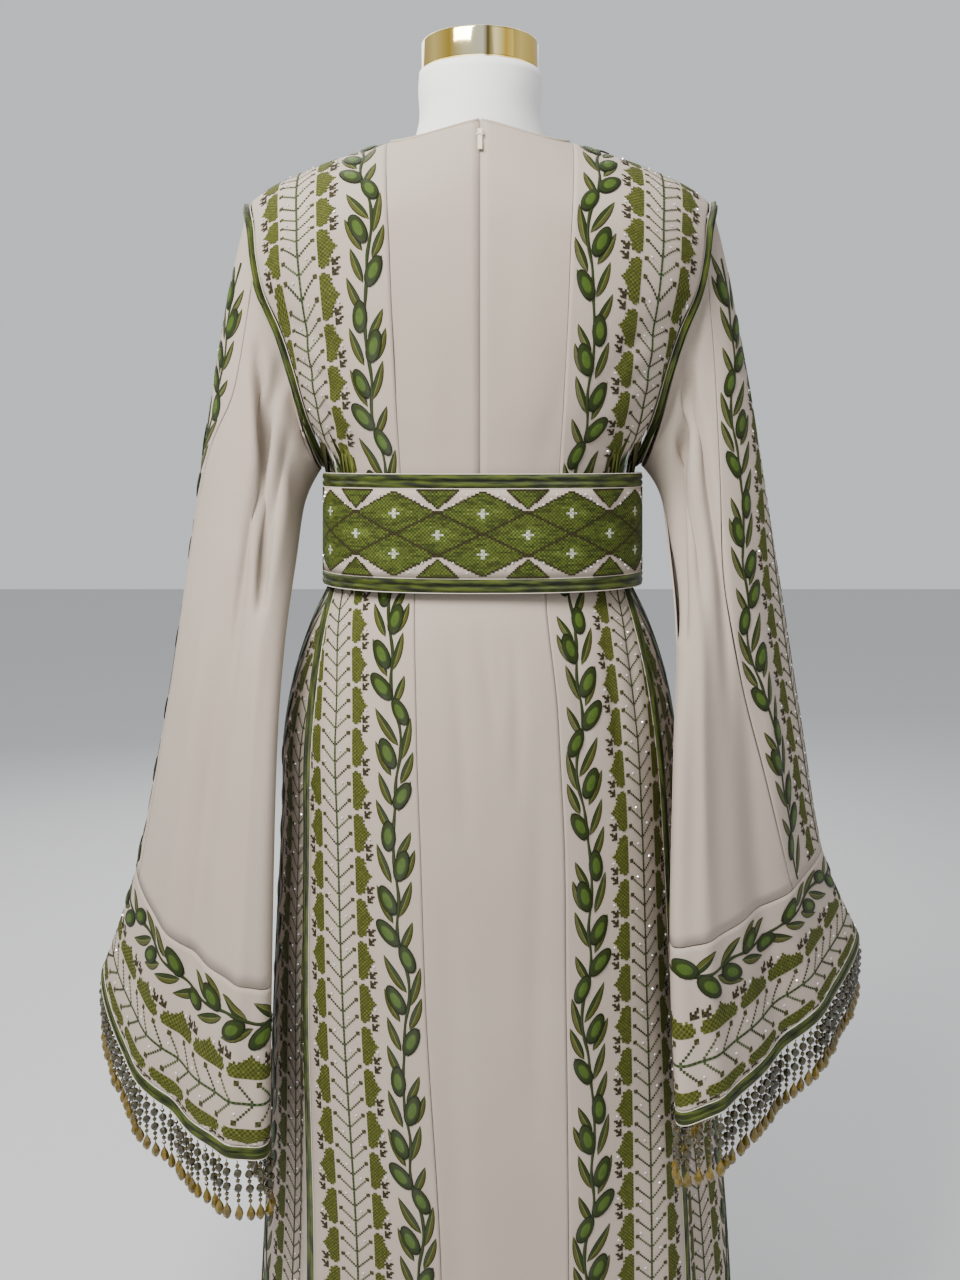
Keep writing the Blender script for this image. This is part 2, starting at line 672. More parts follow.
def lining_finish():
    """The paler cord along the edges of the pipings."""
    s = Shader("seam_edge", 0.70, sheen=0.1, specular=0.3)
    fine = s.noise(s.coordinates("Object"), 800.0)
    return s.finish(s.mix(fine, (0.50, 0.44, 0.37), (0.62, 0.55, 0.47)), fine, 0.0002, 0.3)


def stitch_finish():
    """Cross stitch: two crossing threads on every square of the UV map."""
    s = Shader("cross_stitch", 0.72, specular=0.12)
    parts = s.split(s.coordinates("UV"))
    across, down = s.math("FRACT", parts[0]), s.math("FRACT", parts[1])
    one = s.math("ABSOLUTE", s.math("SUBTRACT", across, down))
    two = s.math("ABSOLUTE", s.math("SUBTRACT", s.math("ADD", across, down), 1.0))
    arms = s.math("SUBTRACT", 1.0, s.math("MULTIPLY", s.math("MINIMUM", one, two), 2.0))
    thread = s.math("MAXIMUM", arms, 0.0)
    shade = s.math("ADD", 0.55, s.math("MULTIPLY", thread, 0.6))
    return s.finish(s.mix(1.0, s.attribute("thread"), shade, "MULTIPLY"), thread, 0.0005, 0.6)


def satin_finish():
    """Satin stitch: parallel glossy threads across each leaf and olive."""
    s = Shader("satin_stitch", 0.50, specular=0.22)
    flat = s.coordinates("UV")
    threads = s.ridges(flat, 620.0, "Y", 1.2)
    tone = s.noise(s.coordinates("Object"), 160.0, 2.0)
    bright = s.math("ADD", 0.72, s.math("MULTIPLY", tone, 0.55))
    colour = s.mix(1.0, s.attribute("thread"), bright, "MULTIPLY")
    return s.finish(colour, threads, 0.0004, 0.6)


def piping_finish():
    """Variegated satin piping: the thread runs from dark olive to leaf green along its length."""
    s = Shader("piping_satin", 0.44, specular=0.30)
    parts = s.split(s.coordinates("UV"))
    run = s.nodes.new("ShaderNodeCombineXYZ")
    s.put(run.inputs[0], s.math("MULTIPLY", parts[0], 260.0))
    s.put(run.inputs[1], s.math("MULTIPLY", parts[1], 34.0))
    streak = s.noise(run.outputs[0], 1.0, 2.5)
    colour = s.ramp(
        streak,
        (
            (0.38, (0.008, 0.011, 0.002)),
            (0.47, (0.026, 0.034, 0.003)),
            (0.56, (0.056, 0.078, 0.006)),
            (0.68, (0.092, 0.112, 0.011)),
        ),
    )
    flat = s.coordinates("UV")
    threads = s.ridges(flat, 520.0, "Y", 2.0)
    colour = s.mix(s.math("MULTIPLY", threads, 0.30), colour, (0.010, 0.014, 0.003))
    return s.finish(colour, threads, 0.0004, 0.6)


def glass_finish():
    """Smoky glass, coloured bead by bead."""
    s = Shader("bead_glass", 0.10, coat=0.3, specular=0.7, transmission=0.20)
    cloudy = s.noise(s.coordinates("Object"), 240.0)
    bright = s.math("ADD", 0.65, s.math("MULTIPLY", cloudy, 0.8))
    return s.finish(s.mix(1.0, s.attribute("thread"), bright, "MULTIPLY"))


def crystal_finish():
    """Clear stones with a faint blue or rose cast, each its own."""
    s = Shader("rhinestone", 0.06, metallic=0.35, coat=0.8, specular=0.9)
    tint = s.noise(s.coordinates("Object"), 420.0)
    casts = ((0.35, (0.62, 0.86, 0.84)), (0.5, (0.95, 0.96, 0.96)), (0.65, (0.92, 0.84, 0.90)))
    return s.finish(s.ramp(tint, casts))


def linen_finish():
    """White linen stretched over the form."""
    s = Shader("form_linen", 0.86, sheen=0.15, specular=0.25)
    where = s.coordinates("Object")
    weave = s.math("ADD", s.ridges(where, 420.0, "Z", 2.0), s.ridges(where, 420.0, "X", 2.0))
    cloudy = s.noise(where, 14.0, 3.0)
    colour = s.mix(cloudy, (0.93, 0.925, 0.91), (0.97, 0.965, 0.95))
    return s.finish(s.mix(s.math("MULTIPLY", weave, 0.04), colour, (0.4, 0.4, 0.38)), weave, 0.0003, 0.35)


def steel_finish():
    """Satin steel, a little streaked."""
    s = Shader("stand_steel", 0.30, metallic=1.0)
    where = s.coordinates("Object", (1.0, 1.0, 14.0))
    streak = s.noise(where, 30.0, 3.0)
    rough = s.math("ADD", 0.30, s.math("MULTIPLY", streak, 0.06))
    return s.finish(s.mix(streak, (0.46, 0.46, 0.47), (0.60, 0.60, 0.61)), streak, 0.00002, 0.05, rough)


def gold_finish():
    """Polished gold, with the upright bright and dark bands of a round mirror."""
    s = Shader("cap_gold", 0.09, metallic=1.0)
    across = s.split(s.coordinates("Object"))[0]
    place = s.math("ADD", s.math("MULTIPLY", across, 8.6), 0.5)
    bands = s.ramp(
        place,
        (
            (0.05, (0.62, 0.40, 0.05)),
            (0.18, (0.95, 0.70, 0.20)),
            (0.30, (0.50, 0.32, 0.04)),
            (0.38, (0.98, 0.82, 0.38)),
            (0.44, (0.16, 0.10, 0.01)),
            (0.48, (1.00, 0.93, 0.66)),
            (0.62, (0.98, 0.84, 0.44)),
            (0.74, (0.58, 0.38, 0.05)),
            (0.86, (0.95, 0.72, 0.22)),
            (0.95, (0.55, 0.36, 0.05)),
        ),
    )
    fine = s.noise(s.coordinates("Object"), 60.0)
    return s.finish(bands, fine, 0.00002, 0.05)


def enamel_finish():
    """Beige enamel of the zip."""
    s = Shader("zip_enamel", 0.32, coat=0.3)
    worn = s.noise(s.coordinates("Object"), 900.0)
    return s.finish(s.mix(worn, (0.62, 0.53, 0.41), (0.72, 0.64, 0.52)), worn, 0.00005, 0.2)


def floor_finish():
    s = Shader("floor_paper", 0.9, specular=0.1)
    grain = s.noise(s.coordinates("Object"), 40.0)
    return s.finish(s.mix(grain, (0.57, 0.57, 0.58), (0.59, 0.59, 0.60)), grain, 0.0001, 0.1)


CREPE = crepe_finish()
EDGE = lining_finish()
STITCHES = stitch_finish()
SATIN = satin_finish()
PIPING = piping_finish()
GLASS = glass_finish()
CRYSTAL = crystal_finish()
LINEN = linen_finish()
ENAMEL = enamel_finish()
GOLD = gold_finish()
STEEL = steel_finish()

THREADS = (
    ("plain", (0.50, 0.45, 0.40)),
    ("block", (0.066, 0.074, 0.013)),
    ("arrow", (0.034, 0.028, 0.013)),
    ("tree", (0.044, 0.062, 0.024)),
    ("branch_end", (0.048, 0.048, 0.017)),
    ("leaf_dark", (0.020, 0.034, 0.004)),
    ("leaf_light", (0.066, 0.070, 0.010)),
    ("midrib", (0.130, 0.130, 0.040)),
    ("outline", (0.008, 0.012, 0.002)),
    ("olive_rim", (0.019, 0.030, 0.003)),
    ("olive_body", (0.027, 0.046, 0.005)),
    ("olive_middle", (0.056, 0.100, 0.011)),
    ("stem", (0.024, 0.034, 0.007)),
    ("belt_field", (0.060, 0.078, 0.012)),
    ("belt_line", (0.028, 0.024, 0.008)),
    ("belt_bright", (0.086, 0.114, 0.020)),
    ("belt_cross", (0.400, 0.430, 0.330)),
    ("smoky_bead", (0.046, 0.040, 0.018)),
    ("amber_drop", (0.145, 0.098, 0.011)),
    ("small_bead", (0.072, 0.056, 0.017)),
    ("belt_deep", (0.036, 0.047, 0.008)),
)
TONES = np.array([colour for _, colour in THREADS])
TONE = {name: number for number, (name, _) in enumerate(THREADS)}

# ---------------------------------------------------------------- makers


def mesh_from(name, bm):
    mesh = bpy.data.meshes.new(name)
    bm.to_mesh(mesh)
    bm.free()
    return mesh


def linked(name, data):
    made = bpy.data.objects.new(name, data)
    bpy.context.scene.collection.objects.link(made)
    return made


def object_from(name, bm, material, replaces=()):
    mesh = mesh_from(name, bm)
    made = linked(name, mesh)
    mesh.materials.append(material)
    mesh.shade_smooth()
    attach(made, "robe")
    if replaces:
        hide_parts(*replaces)
    return made


def close_up(bm, distance):
    """Welds the grid's own seam and closes its two ends."""
    bmesh.ops.remove_doubles(bm, verts=bm.verts, dist=distance)
    bmesh.ops.holes_fill(bm, edges=[edge for edge in bm.edges if edge.is_boundary])
    bmesh.ops.recalc_face_normals(bm, faces=bm.faces)


def grid_shape(points, flat=None, turned=False):
    """A bmesh grid moved onto rows of points, with flat coordinates as its UV map."""
    rows, columns = points.shape[:2]
    bm = bmesh.new()
    bmesh.ops.create_grid(bm, x_segments=columns - 1, y_segments=rows - 1, size=1.0)
    bm.verts.ensure_lookup_table()
    uv = bm.loops.layers.uv.new("UVMap")
    places = {}
    for vert in bm.verts:
        column = round((vert.co.x + 1) / 2 * (columns - 1))
        row = round((vert.co.y + 1) / 2 * (rows - 1))
        places[vert] = (row, column)
        vert.co = points[row, column]
    if flat is not None:
        u, v = flat
        for face in bm.faces:
            for loop in face.loops:
                place = places[loop.vert]
                loop[uv].uv = (u[place], v[place])
    if turned:
        bmesh.ops.reverse_faces(bm, faces=bm.faces)
    return bm


def cloth_wall(name, cloth, material, replaces, thickness=WALL, lifts=None, offset=0.0):
    """The sheet as a wall of cloth: its faces point away from the body."""
    points = cloth.points if lifts is None else cloth.points + cloth.normals * lifts[..., None]
    # A grid's own faces look along down x across turned round, so a sheet that faces that way is reversed
    bm = grid_shape(points, (cloth.u, cloth.v), turned=cloth.facing > 0)
    made = object_from(name, bm, material, replaces)
    solid = made.modifiers.new("wall", "SOLIDIFY")
    solid.thickness = thickness
    solid.offset = offset
    return made


def declare(cloth):
    across, down, area = cloth.size()
    area = min(area, across * down)


def face_values(mesh, source, name):
    values = np.empty(len(mesh.polygons), np.int32)
    source.foreach_get(name, values)
    return values


def dye(mesh, scatter):
    """Gives each face its thread's colour, a little lighter or darker than the next one's."""
    tones = face_values(mesh, mesh.attributes["tone"].data, "value")
    totals = face_values(mesh, mesh.polygons, "loop_total")
    shade = 1 + scatter * (rng.random(len(tones)) - 0.5) * 2
    if "slant" in mesh.attributes:
        slants = face_values(mesh, mesh.attributes["slant"].data, "value")
        shade *= np.where(slants == 1, *SLANT_SHADES)
    colours = np.ones((len(tones), 4), np.float32)
    colours[:, :3] = TONES[tones] * shade[:, None]
    layer = mesh.color_attributes.new("thread", "FLOAT_COLOR", "CORNER")
    layer.data.foreach_set("color", np.repeat(colours, totals, axis=0).ravel())


def laid(name, bm, cloth, material, scatter):
    """Flat work laid on a sheet: x is u, y is v and z is how far it stands off the cloth."""
    mesh = mesh_from(name, bm)
    flat = np.empty(len(mesh.vertices) * 3, np.float32)
    mesh.vertices.foreach_get("co", flat)
    flat = flat.reshape(-1, 3).astype(float)
    points = cloth.place(flat[:, 0], flat[:, 1], flat[:, 2])
    mesh.vertices.foreach_set("co", points.astype(np.float32).ravel())
    dye(mesh, scatter)
    made = linked(name, mesh)
    mesh.materials.append(material)
    mesh.shade_smooth()
    mesh.update()
    if cloth.facing > 0:
        mesh.flip_normals()
    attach(made, "robe")
    return made


# ---------------------------------------------------------------- cross stitch

STITCH = (0.00190, 0.00170)
BODICE_STITCH = (0.00214, 0.00172)
STITCH_LIFT = 0.0013  # how far a stitch stands off the cloth's middle
SLANT_SHADES = (1.34, 0.66)  # of the two ways that neighbouring stitches catch the light
# Stepped blocks: where each row of a block starts and ends, counted from its straight side
BLOCK_REACH = (3, 5, 5, 6, 5, 6, 6, 7, 7, 8, 9, 8, 7, 7, 6, 6, 5, 6, 5, 5, 3, 0, 0)
BLOCK_START = (1, 0, 0, 0, 0, 0, 0, 0, 0, 0, 0, 0, 0, 0, 0, 0, 0, 0, 0, 0, 1, 9, 9)
BLOCK_EDGE = 9  # column of a block's straight side
BLOCK_TIP_ROW = 13
ARROW = ("xx.x", ".xxx", "..xx", ".xxx")
ARROW_ROWS = (16, 21)
TREE_PERIOD, BRANCH_STITCHES = 9, 6
COLUMN_STITCHES = 39


def column_chart(rows, first=0):
    """The cross-stitch column: arrows, stepped blocks, a branching tree, and the same again mirrored."""
    chart = np.zeros((rows, COLUMN_STITCHES), int)
    middle = COLUMN_STITCHES // 2
    period = len(BLOCK_REACH)
    for row in range(rows):
        place = (row + first) % period
        for step in range(BLOCK_START[place], BLOCK_REACH[place]):
            chart[row, BLOCK_EDGE - step] = TONE["block"]
            chart[row, COLUMN_STITCHES - 1 - BLOCK_EDGE + step] = TONE["block"]
        for start in ARROW_ROWS:
            line = (place - start) % period
            if line < len(ARROW):
                for column, mark in enumerate(ARROW[line]):
                    if mark == "x":
                        chart[row, column] = TONE["arrow"]
                        chart[row, COLUMN_STITCHES - 1 - column] = TONE["arrow"]
        chart[row, middle] = TONE["tree"]
    for root in range(0, rows + TREE_PERIOD, TREE_PERIOD):
        for step in range(1, BRANCH_STITCHES + 1):
            if 0 <= root - step < rows:
                chart[root - step, middle - step] = TONE["tree"]
                chart[root - step, middle + step] = TONE["tree"]
        # Two by two stitches close each branch
        tip = BRANCH_STITCHES + 1
        for down in (tip, tip + 1):
            if 0 <= root - down < rows:
                chart[root - down, middle - tip - 1 : middle - tip + 1] = TONE["branch_end"]
                chart[root - down, middle + tip : middle + tip + 2] = TONE["branch_end"]
    return chart


def stitch_patch(name, cloth, chart, start, pitch, lift=STITCH_LIFT):
    """One square for each stitch of the chart, laid on the sheet where the cloth is."""
    rows, columns = chart.shape
    bm = bmesh.new()
    tone = bm.faces.layers.int.new("tone")
    slant = bm.faces.layers.int.new("slant")
    uv = bm.loops.layers.uv.new("UVMap")
    bmesh.ops.create_grid(bm, x_segments=columns, y_segments=rows, size=1.0)
    corner_u = start[0] + np.arange(columns + 1) * pitch[0]
    corner_v = start[1] + np.arange(rows + 1) * pitch[1]
    grid_u, grid_v = np.meshgrid(corner_u, corner_v)
    inside = cloth.find(grid_u.ravel(), grid_v.ravel())[2].reshape(grid_u.shape)
    whole = inside[1:, 1:] & inside[1:, :-1] & inside[:-1, 1:] & inside[:-1, :-1]
    spare = []
    for face in bm.faces:
        middle = face.calc_center_median()
        column = int((middle.x + 1) / 2 * columns)
        row = int((middle.y + 1) / 2 * rows)
        if not chart[row, column] or not whole[row, column]:
            spare.append(face)
            continue
        face[tone] = int(chart[row, column])
        face[slant] = (row + column) % 2
        for loop in face.loops:
            loop[uv].uv = ((loop.vert.co.x + 1) / 2 * columns, (loop.vert.co.y + 1) / 2 * rows)
    bmesh.ops.delete(bm, geom=spare, context="FACES")
    for vert in bm.verts:
        vert.co = (
            start[0] + (vert.co.x + 1) / 2 * columns * pitch[0],
            start[1] + (vert.co.y + 1) / 2 * rows * pitch[1],
            lift,
        )
    return laid(name, bm, cloth, STITCHES, 0.22)


# ---------------------------------------------------------------- olive branch

# Olives and leaves of one repeat: down, across, turn, length, width; a leaf's place is its root
OLIVES = (
    (0.003, 0.0290, 0, 0.0290, 0.0150),
    (0.030, 0.0175, -16, 0.0300, 0.0155),
    (0.062, 0.0315, 24, 0.0300, 0.0150),
    (0.092, 0.0325, 38, 0.0310, 0.0158),
    (0.115, 0.0150, 24, 0.0280, 0.0145),
    (0.153, 0.0270, 26, 0.0300, 0.0152),
    (0.191, 0.0145, -28, 0.0280, 0.0150),
)
LEAVES = (
    (0.046, 0.0275, 25, 0.0370, 0.0080),
    (0.043, 0.0160, -27, 0.0290, 0.0074),
    (0.077, 0.0215, -25, 0.0350, 0.0080),
    (0.083, 0.0270, 29, 0.0380, 0.0080),
    (0.109, 0.0210, -32, 0.0290, 0.0080),
    (0.146, 0.0165, 41, 0.0390, 0.0086),
    (0.158, 0.0135, -18, 0.0370, 0.0080),
    (0.180, 0.0155, -27, 0.0310, 0.0084),
    (0.173, 0.0240, 35, 0.0330, 0.0078),
    (0.200, 0.0245, 27, 0.0330, 0.0078),
    (0.205, 0.0190, -32, 0.0290, 0.0078),
    (0.225, 0.0255, 30, 0.0330, 0.0080),
    (0.024, 0.0225, -36, 0.0290, 0.0078),
)
VINE = (
    (0.000, 0.0245),
    (0.030, 0.0245),
    (0.060, 0.0212),
    (0.088, 0.0235),
    (0.108, 0.0215),
    (0.130, 0.0150),
    (0.155, 0.0150),
    (0.176, 0.0195),
    (0.200, 0.0215),
    (0.225, 0.0245),
)
BRANCH_REPEAT = 0.225
LEAF_ACROSS = (-1.0, -0.80, -0.09, 0.09, 0.80, 1.0)
LEAF_TONES = ("outline", "leaf_light", "midrib", "leaf_dark", "outline")
LEAF_STEPS, LEAF_BEND, LEAF_LIFT = 8, 0.45, 0.0011
OLIVE_RINGS = (0.02, 0.30, 0.50, 0.58, 0.88, 1.0)
OLIVE_TONES = ("olive_middle", "olive_middle", "olive_body", "olive_rim", "outline")
OLIVE_SIDES, OLIVE_LIFT = 18, 0.0016
VINE_HALF_WIDTH, VINE_LIFT, VINE_STEP = 0.00145, 0.0012, 0.004


def vine_across(down):
    return smooth(down % BRANCH_REPEAT, [row[0] for row in VINE], [row[1] for row in VINE])


def lay_leaf(bm, layers, root, turn, length, width):
    """A pointed leaf in two greens with a pale rib, bending back towards the vine's own line."""
    tone, uv = layers
    made = bmesh.ops.create_grid(bm, x_segments=len(LEAF_ACROSS) - 1, y_segments=LEAF_STEPS, size=1.0)
    angle, bend = math.radians(turn), -math.radians(turn) * LEAF_BEND
    tones = LEAF_TONES[::-1] if turn > 0 else LEAF_TONES
    for vert in made["verts"]:
        across = LEAF_ACROSS[round((vert.co.x + 1) / 2 * (len(LEAF_ACROSS) - 1))]
        along = (vert.co.y + 1) / 2
        vert.co = (across, along, 0)
    faces = {face for vert in made["verts"] for face in vert.link_faces}
    for face in faces:
        middle = face.calc_center_median()
        face[tone] = TONE[tones[int(np.searchsorted(LEAF_ACROSS, middle.x)) - 1]]
        for loop in face.loops:
            loop[uv].uv = (loop.vert.co.x * width, loop.vert.co.y * length + abs(loop.vert.co.x) * 0.002)
    for vert in made["verts"]:
        across, along = vert.co.x, vert.co.y
        half = width / 2 * math.sin(math.pi * min(along, 0.995) ** 0.85) ** 0.8 + 0.00012
        lean = angle + bend * along * 0.5
        out = along * length * math.sin(lean) + across * half * math.cos(angle + bend * along)
        up = along * length * math.cos(lean) - across * half * math.sin(angle + bend * along)
        dome = 0.0006 * (1 - across * across) - (0.0003 if abs(across) < 0.2 else 0.0)
        vert.co = (root[0] + out, root[1] - up, LEAF_LIFT + dome)


def lay_olive(bm, layers, centre, turn, length, width):
    """A plump olive: a dark rim round a brighter worked middle."""
    tone, uv = layers
    rings = len(OLIVE_RINGS) - 1
    made = bmesh.ops.create_grid(bm, x_segments=OLIVE_SIDES, y_segments=rings, size=1.0)
    faces = {face for vert in made["verts"] for face in vert.link_faces}
    for face in faces:
        ring = int((face.calc_center_median().y + 1) / 2 * rings)
        face[tone] = TONE[OLIVE_TONES[min(ring, rings - 1)]]
    angle = math.radians(turn)
    for vert in made["verts"]:
        round_by = (vert.co.x + 1) / 2 * 2 * math.pi
        reach = OLIVE_RINGS[round((vert.co.y + 1) / 2 * rings)]
        pointed = 1 - 0.10 * (1 + math.cos(round_by)) / 2
        out = reach * width / 2 * math.sin(round_by) * pointed
        up = reach * length / 2 * math.cos(round_by)
        dome = 0.0013 * math.sqrt(max(0.0, 1 - reach * reach)) - (0.0002 if 0.45 < reach < 0.6 else 0.0)
        vert.co = (
            centre[0] + out * math.cos(angle) + up * math.sin(angle),
            centre[1] - up * math.cos(angle) + out * math.sin(angle),
            OLIVE_LIFT + dome,
        )
    for face in faces:
        for loop in face.loops:
            loop[uv].uv = (loop.vert.co.x, loop.vert.co.y)


def lay_vine(bm, layers, low, high, first):
    """The winding stem, its width swelling a little where leaves leave it."""
    tone, uv = layers
    steps = max(2, int((high - low) / VINE_STEP))
    made = bmesh.ops.create_grid(bm, x_segments=4, y_segments=steps, size=1.0)
    for vert in made["verts"]:
        across = vert.co.x
        down = low + (high - low) * (vert.co.y + 1) / 2
        half = VINE_HALF_WIDTH + 0.0003 * math.sin(down * 190)
        middle = float(vine_across(down - first))
        vert.co = (middle + across * half, down, VINE_LIFT + 0.0006 * (1 - across * across))
    for face in {face for vert in made["verts"] for face in vert.link_faces}:
        centre = face.calc_center_median()
        dark = centre.x > float(vine_across(centre.y - first))
        face[tone] = TONE["leaf_dark" if dark else "stem"]
        for loop in face.loops:
            loop[uv].uv = (loop.vert.co.x, loop.vert.co.y)


def olive_branch(name, cloth, low, high, first=0.0, scale=1.0, margin=0.0):
    """The branch worked flat down the sheet's first edge, from v low to v high."""
    bm = bmesh.new()
    layers = (bm.faces.layers.int.new("tone"), bm.loops.layers.uv.new("UVMap"))
    reach = (high - low) / scale
    lay_vine(bm, layers, 0.0, reach, first)
    for repeat in range(-1, int(reach / BRANCH_REPEAT) + 2):
        for down, across, turn, length, width in LEAVES:
            at = down + repeat * BRANCH_REPEAT + first
            if 0.012 < at < reach + 0.004:
                jitter = 1 + 0.08 * (rng.random() - 0.5)
                lean = turn + 6 * (rng.random() - 0.5)
                lay_leaf(bm, layers, (across, at), lean, length * jitter, width)
        for down, across, turn, length, width in OLIVES:
            at = down + repeat * BRANCH_REPEAT + first
            if length / 2 < at < reach - length / 2 + 0.006:
                lay_olive(bm, layers, (across, at), turn + 8 * (rng.random() - 0.5), length, width)
    for vert in bm.verts:
        vert.co = (margin + vert.co.x * scale, low + vert.co.y * scale, vert.co.z)
    # What runs past a seam is cut off by it
    flat = np.array([vert.co[:2] for vert in bm.verts])
    inside = cloth.find(flat[:, 0], flat[:, 1])[2]
    bm.verts.index_update()
    cut = [face for face in bm.faces if not all(inside[vert.index] for vert in face.verts)]
    bmesh.ops.delete(bm, geom=cut, context="FACES")
    return laid(name, bm, cloth, SATIN, 0.05)


# ---------------------------------------------------------------- rhinestones


STONE_RADIUS, STONE_DEPTH, STONE_LIFT = 0.0011, 0.0009, 0.0019


def rhinestones(name, cloth, places, radius=STONE_RADIUS):
    """Little faceted stones at flat places on the sheet."""
    places = np.array(places)
    inside = cloth.find(places[:, 0], places[:, 1])[2]
    bm = bmesh.new()
    tone = bm.faces.layers.int.new("tone")
    shape = {"segments": 6, "radius1": radius, "radius2": radius * 0.55, "depth": STONE_DEPTH}
    for u, v in places[inside]:
        made = bmesh.ops.create_cone(bm, cap_ends=True, cap_tris=False, **shape)
        turn = rng.random() * math.pi
        for vert in made["verts"]:
            x, y, z = vert.co
            vert.co = (
                u + x * math.cos(turn) - y * math.sin(turn),
                v + x * math.sin(turn) + y * math.cos(turn),
                STONE_LIFT + z,
            )
    for face in bm.faces:
        face[tone] = TONE["plain"]
    made = laid(name, bm, cloth, CRYSTAL, 0.0)
    made.data.shade_flat()
    return made


def column_stones(start, rows, pitch, first=0):
    """Stones beside every other branch and at the tips of the blocks."""
    places = []
    middle = COLUMN_STITCHES / 2
    for root in range(TREE_PERIOD, rows, TREE_PERIOD):
        side = 1 if (root // TREE_PERIOD) % 2 else -1
        off = 2.5 + 3.5 * rng.random()
        places.append((start[0] + (middle + side * off) * pitch[0], start[1] + (root - off - 3.0) * pitch[1]))
    for row in range(rows):
        if (row + first) % len(BLOCK_REACH) == BLOCK_TIP_ROW:
            for column in (1.6, COLUMN_STITCHES - 1.6):
                if rng.random() < 0.7:
                    places.append((start[0] + column * pitch[0], start[1] + (row + rng.random()) * pitch[1]))
    return places


STRIP_GAP = 0.0012  # between the branch's strip and the cross stitch


def embroider(name, cloth, low, high, first, strip_first, pitch=STITCH):
    """A strip of olive branch along the first edge with the cross-stitch column beside it."""
    rows = int((high - low) / pitch[1])
    start = (OLIVE_STRIP + STRIP_GAP, low)
    return [
        stitch_patch("cross_stitch_" + name, cloth, column_chart(rows, first), start, pitch),
        olive_branch("olive_branch_" + name, cloth, low, high, strip_first),
        rhinestones("rhinestones_" + name, cloth, column_stones(start, rows, pitch, first)),
    ]


# ---------------------------------------------------------------- bodice


# Folds of a sheet: a line of places on it, half width, depth
ZIP_LIP = (
    ([(0.0016, 0.03), (0.0016, 0.36)], 0.0011, 0.0007),
    ([(0.0046, 0.04), (0.0046, 0.35)], 0.0014, -0.0005),
)
BACK_PULLS = {
    "left": (
        ([(0.085, 0.18), (0.05, 0.30)], 0.014, 0.0016),
        ([(0.02, 0.22), (0.028, 0.36)], 0.016, 0.0012),
    ),
    "right": (
        ([(0.085, 0.22), (0.05, 0.33)], 0.013, 0.0014),
        ([(0.03, 0.10), (0.022, 0.24)], 0.015, 0.0010),
    ),
}
BACK_SIDE_PULLS = (
    ([(0.115, 0.20), (0.060, 0.25), (0.02, 0.33)], 0.010, 0.0022),
    ([(0.105, 0.25), (0.050, 0.30)], 0.008, 0.0018),
    ([(0.095, 0.29), (0.050, 0.345)], 0.008, 0.0015),
)
FRONT_PULLS = (
    ([(0.05, 0.18), (0.07, 0.34)], 0.014, 0.002),
    ([(0.12, 0.14), (0.10, 0.30)], 0.012, 0.0016),
)
# Where each hand's cross stitch starts in its block, and its branch in its repeat
BODICE_FIRSTS = {"left": (6, 0.0), "right": (14, 0.012)}
BODICE_ROWS = np.linspace(BODICE_START, 1.0, 110)
BODICE_MIDDLE = np.array([0.0, 0.0, 1.2])
HALF_GAP = SEAM / 2 / NECK_HALF_WIDTH
SIDE_GAP = SEAM / 2 / 0.115


def eased(columns):
    """Shares across that lie closer together towards the far edge."""
    return np.sin(np.linspace(0.0, math.pi / 2, columns))


def build_back_centre(hand, turn):
    half = bodice_points("centre", "back", BODICE_ROWS, HALF_GAP + (1 - 2 * HALF_GAP) * eased(26))
    half[:, 0, 0] = 0.00010
    cloth = Cloth(turn(half), BODICE_MIDDLE)
    cloth.press(ZIP_LIP + BACK_PULLS[hand])
    made = cloth_wall("back_centre_" + hand, cloth, CREPE, ("bodice_back_centre_" + hand,))
    declare(cloth)


def build_bodice_side(hand, face, turn):
    side = bodice_points("side", face, BODICE_ROWS, np.linspace(SIDE_GAP, 1 - SIDE_GAP, 44))
    way = 1.0 if face == "back" else -1.0
    side[:, :, 1] = way * np.maximum(way * side[:, :, 1], SEAM / 2)
    cloth = Cloth(turn(side), BODICE_MIDDLE)
    if face == "back":
        cloth.press(BACK_SIDE_PULLS)
    node = f"bodice_{face}_side_{hand}"
    made = cloth_wall(f"{face}_side_{hand}", cloth, CREPE, (node,))
    length = cloth.v[:, 0].max()
    work = embroider(f"bodice_{face}_{hand}", cloth, 0.0, length - 0.001, *BODICE_FIRSTS[hand], BODICE_STITCH)
    declare(cloth)


def build_bodice():
    for hand in HANDS:
        turn = mirror_x if hand == "right" else np.array
        build_back_centre(hand, turn)
        for face in ("back", "front"):
            build_bodice_side(hand, face, turn)
    half = bodice_points("centre", "front", BODICE_ROWS, (1 - HALF_GAP) * eased(18))
    front = Cloth(np.concatenate([mirror_x(half[:, :0:-1]), half], axis=1), BODICE_MIDDLE)
    front.press(FRONT_PULLS)
    made = cloth_wall("front_centre", front, CREPE, ("bodice_front_centre",))
    declare(front)


def neckline(face, steps):
    """The line of the neck's rolled binding over half of one face."""
    edge = bodice_points("centre", face, np.array([0.0]), steps)[0]
    inward = np.stack([-edge[:, 0], -edge[:, 1], 0.5 * np.hypot(edge[:, 0], edge[:, 1])], axis=1)
    return edge + unit(inward) * (NECK_BINDING_RADIUS + WALL / 2 + SEAM)


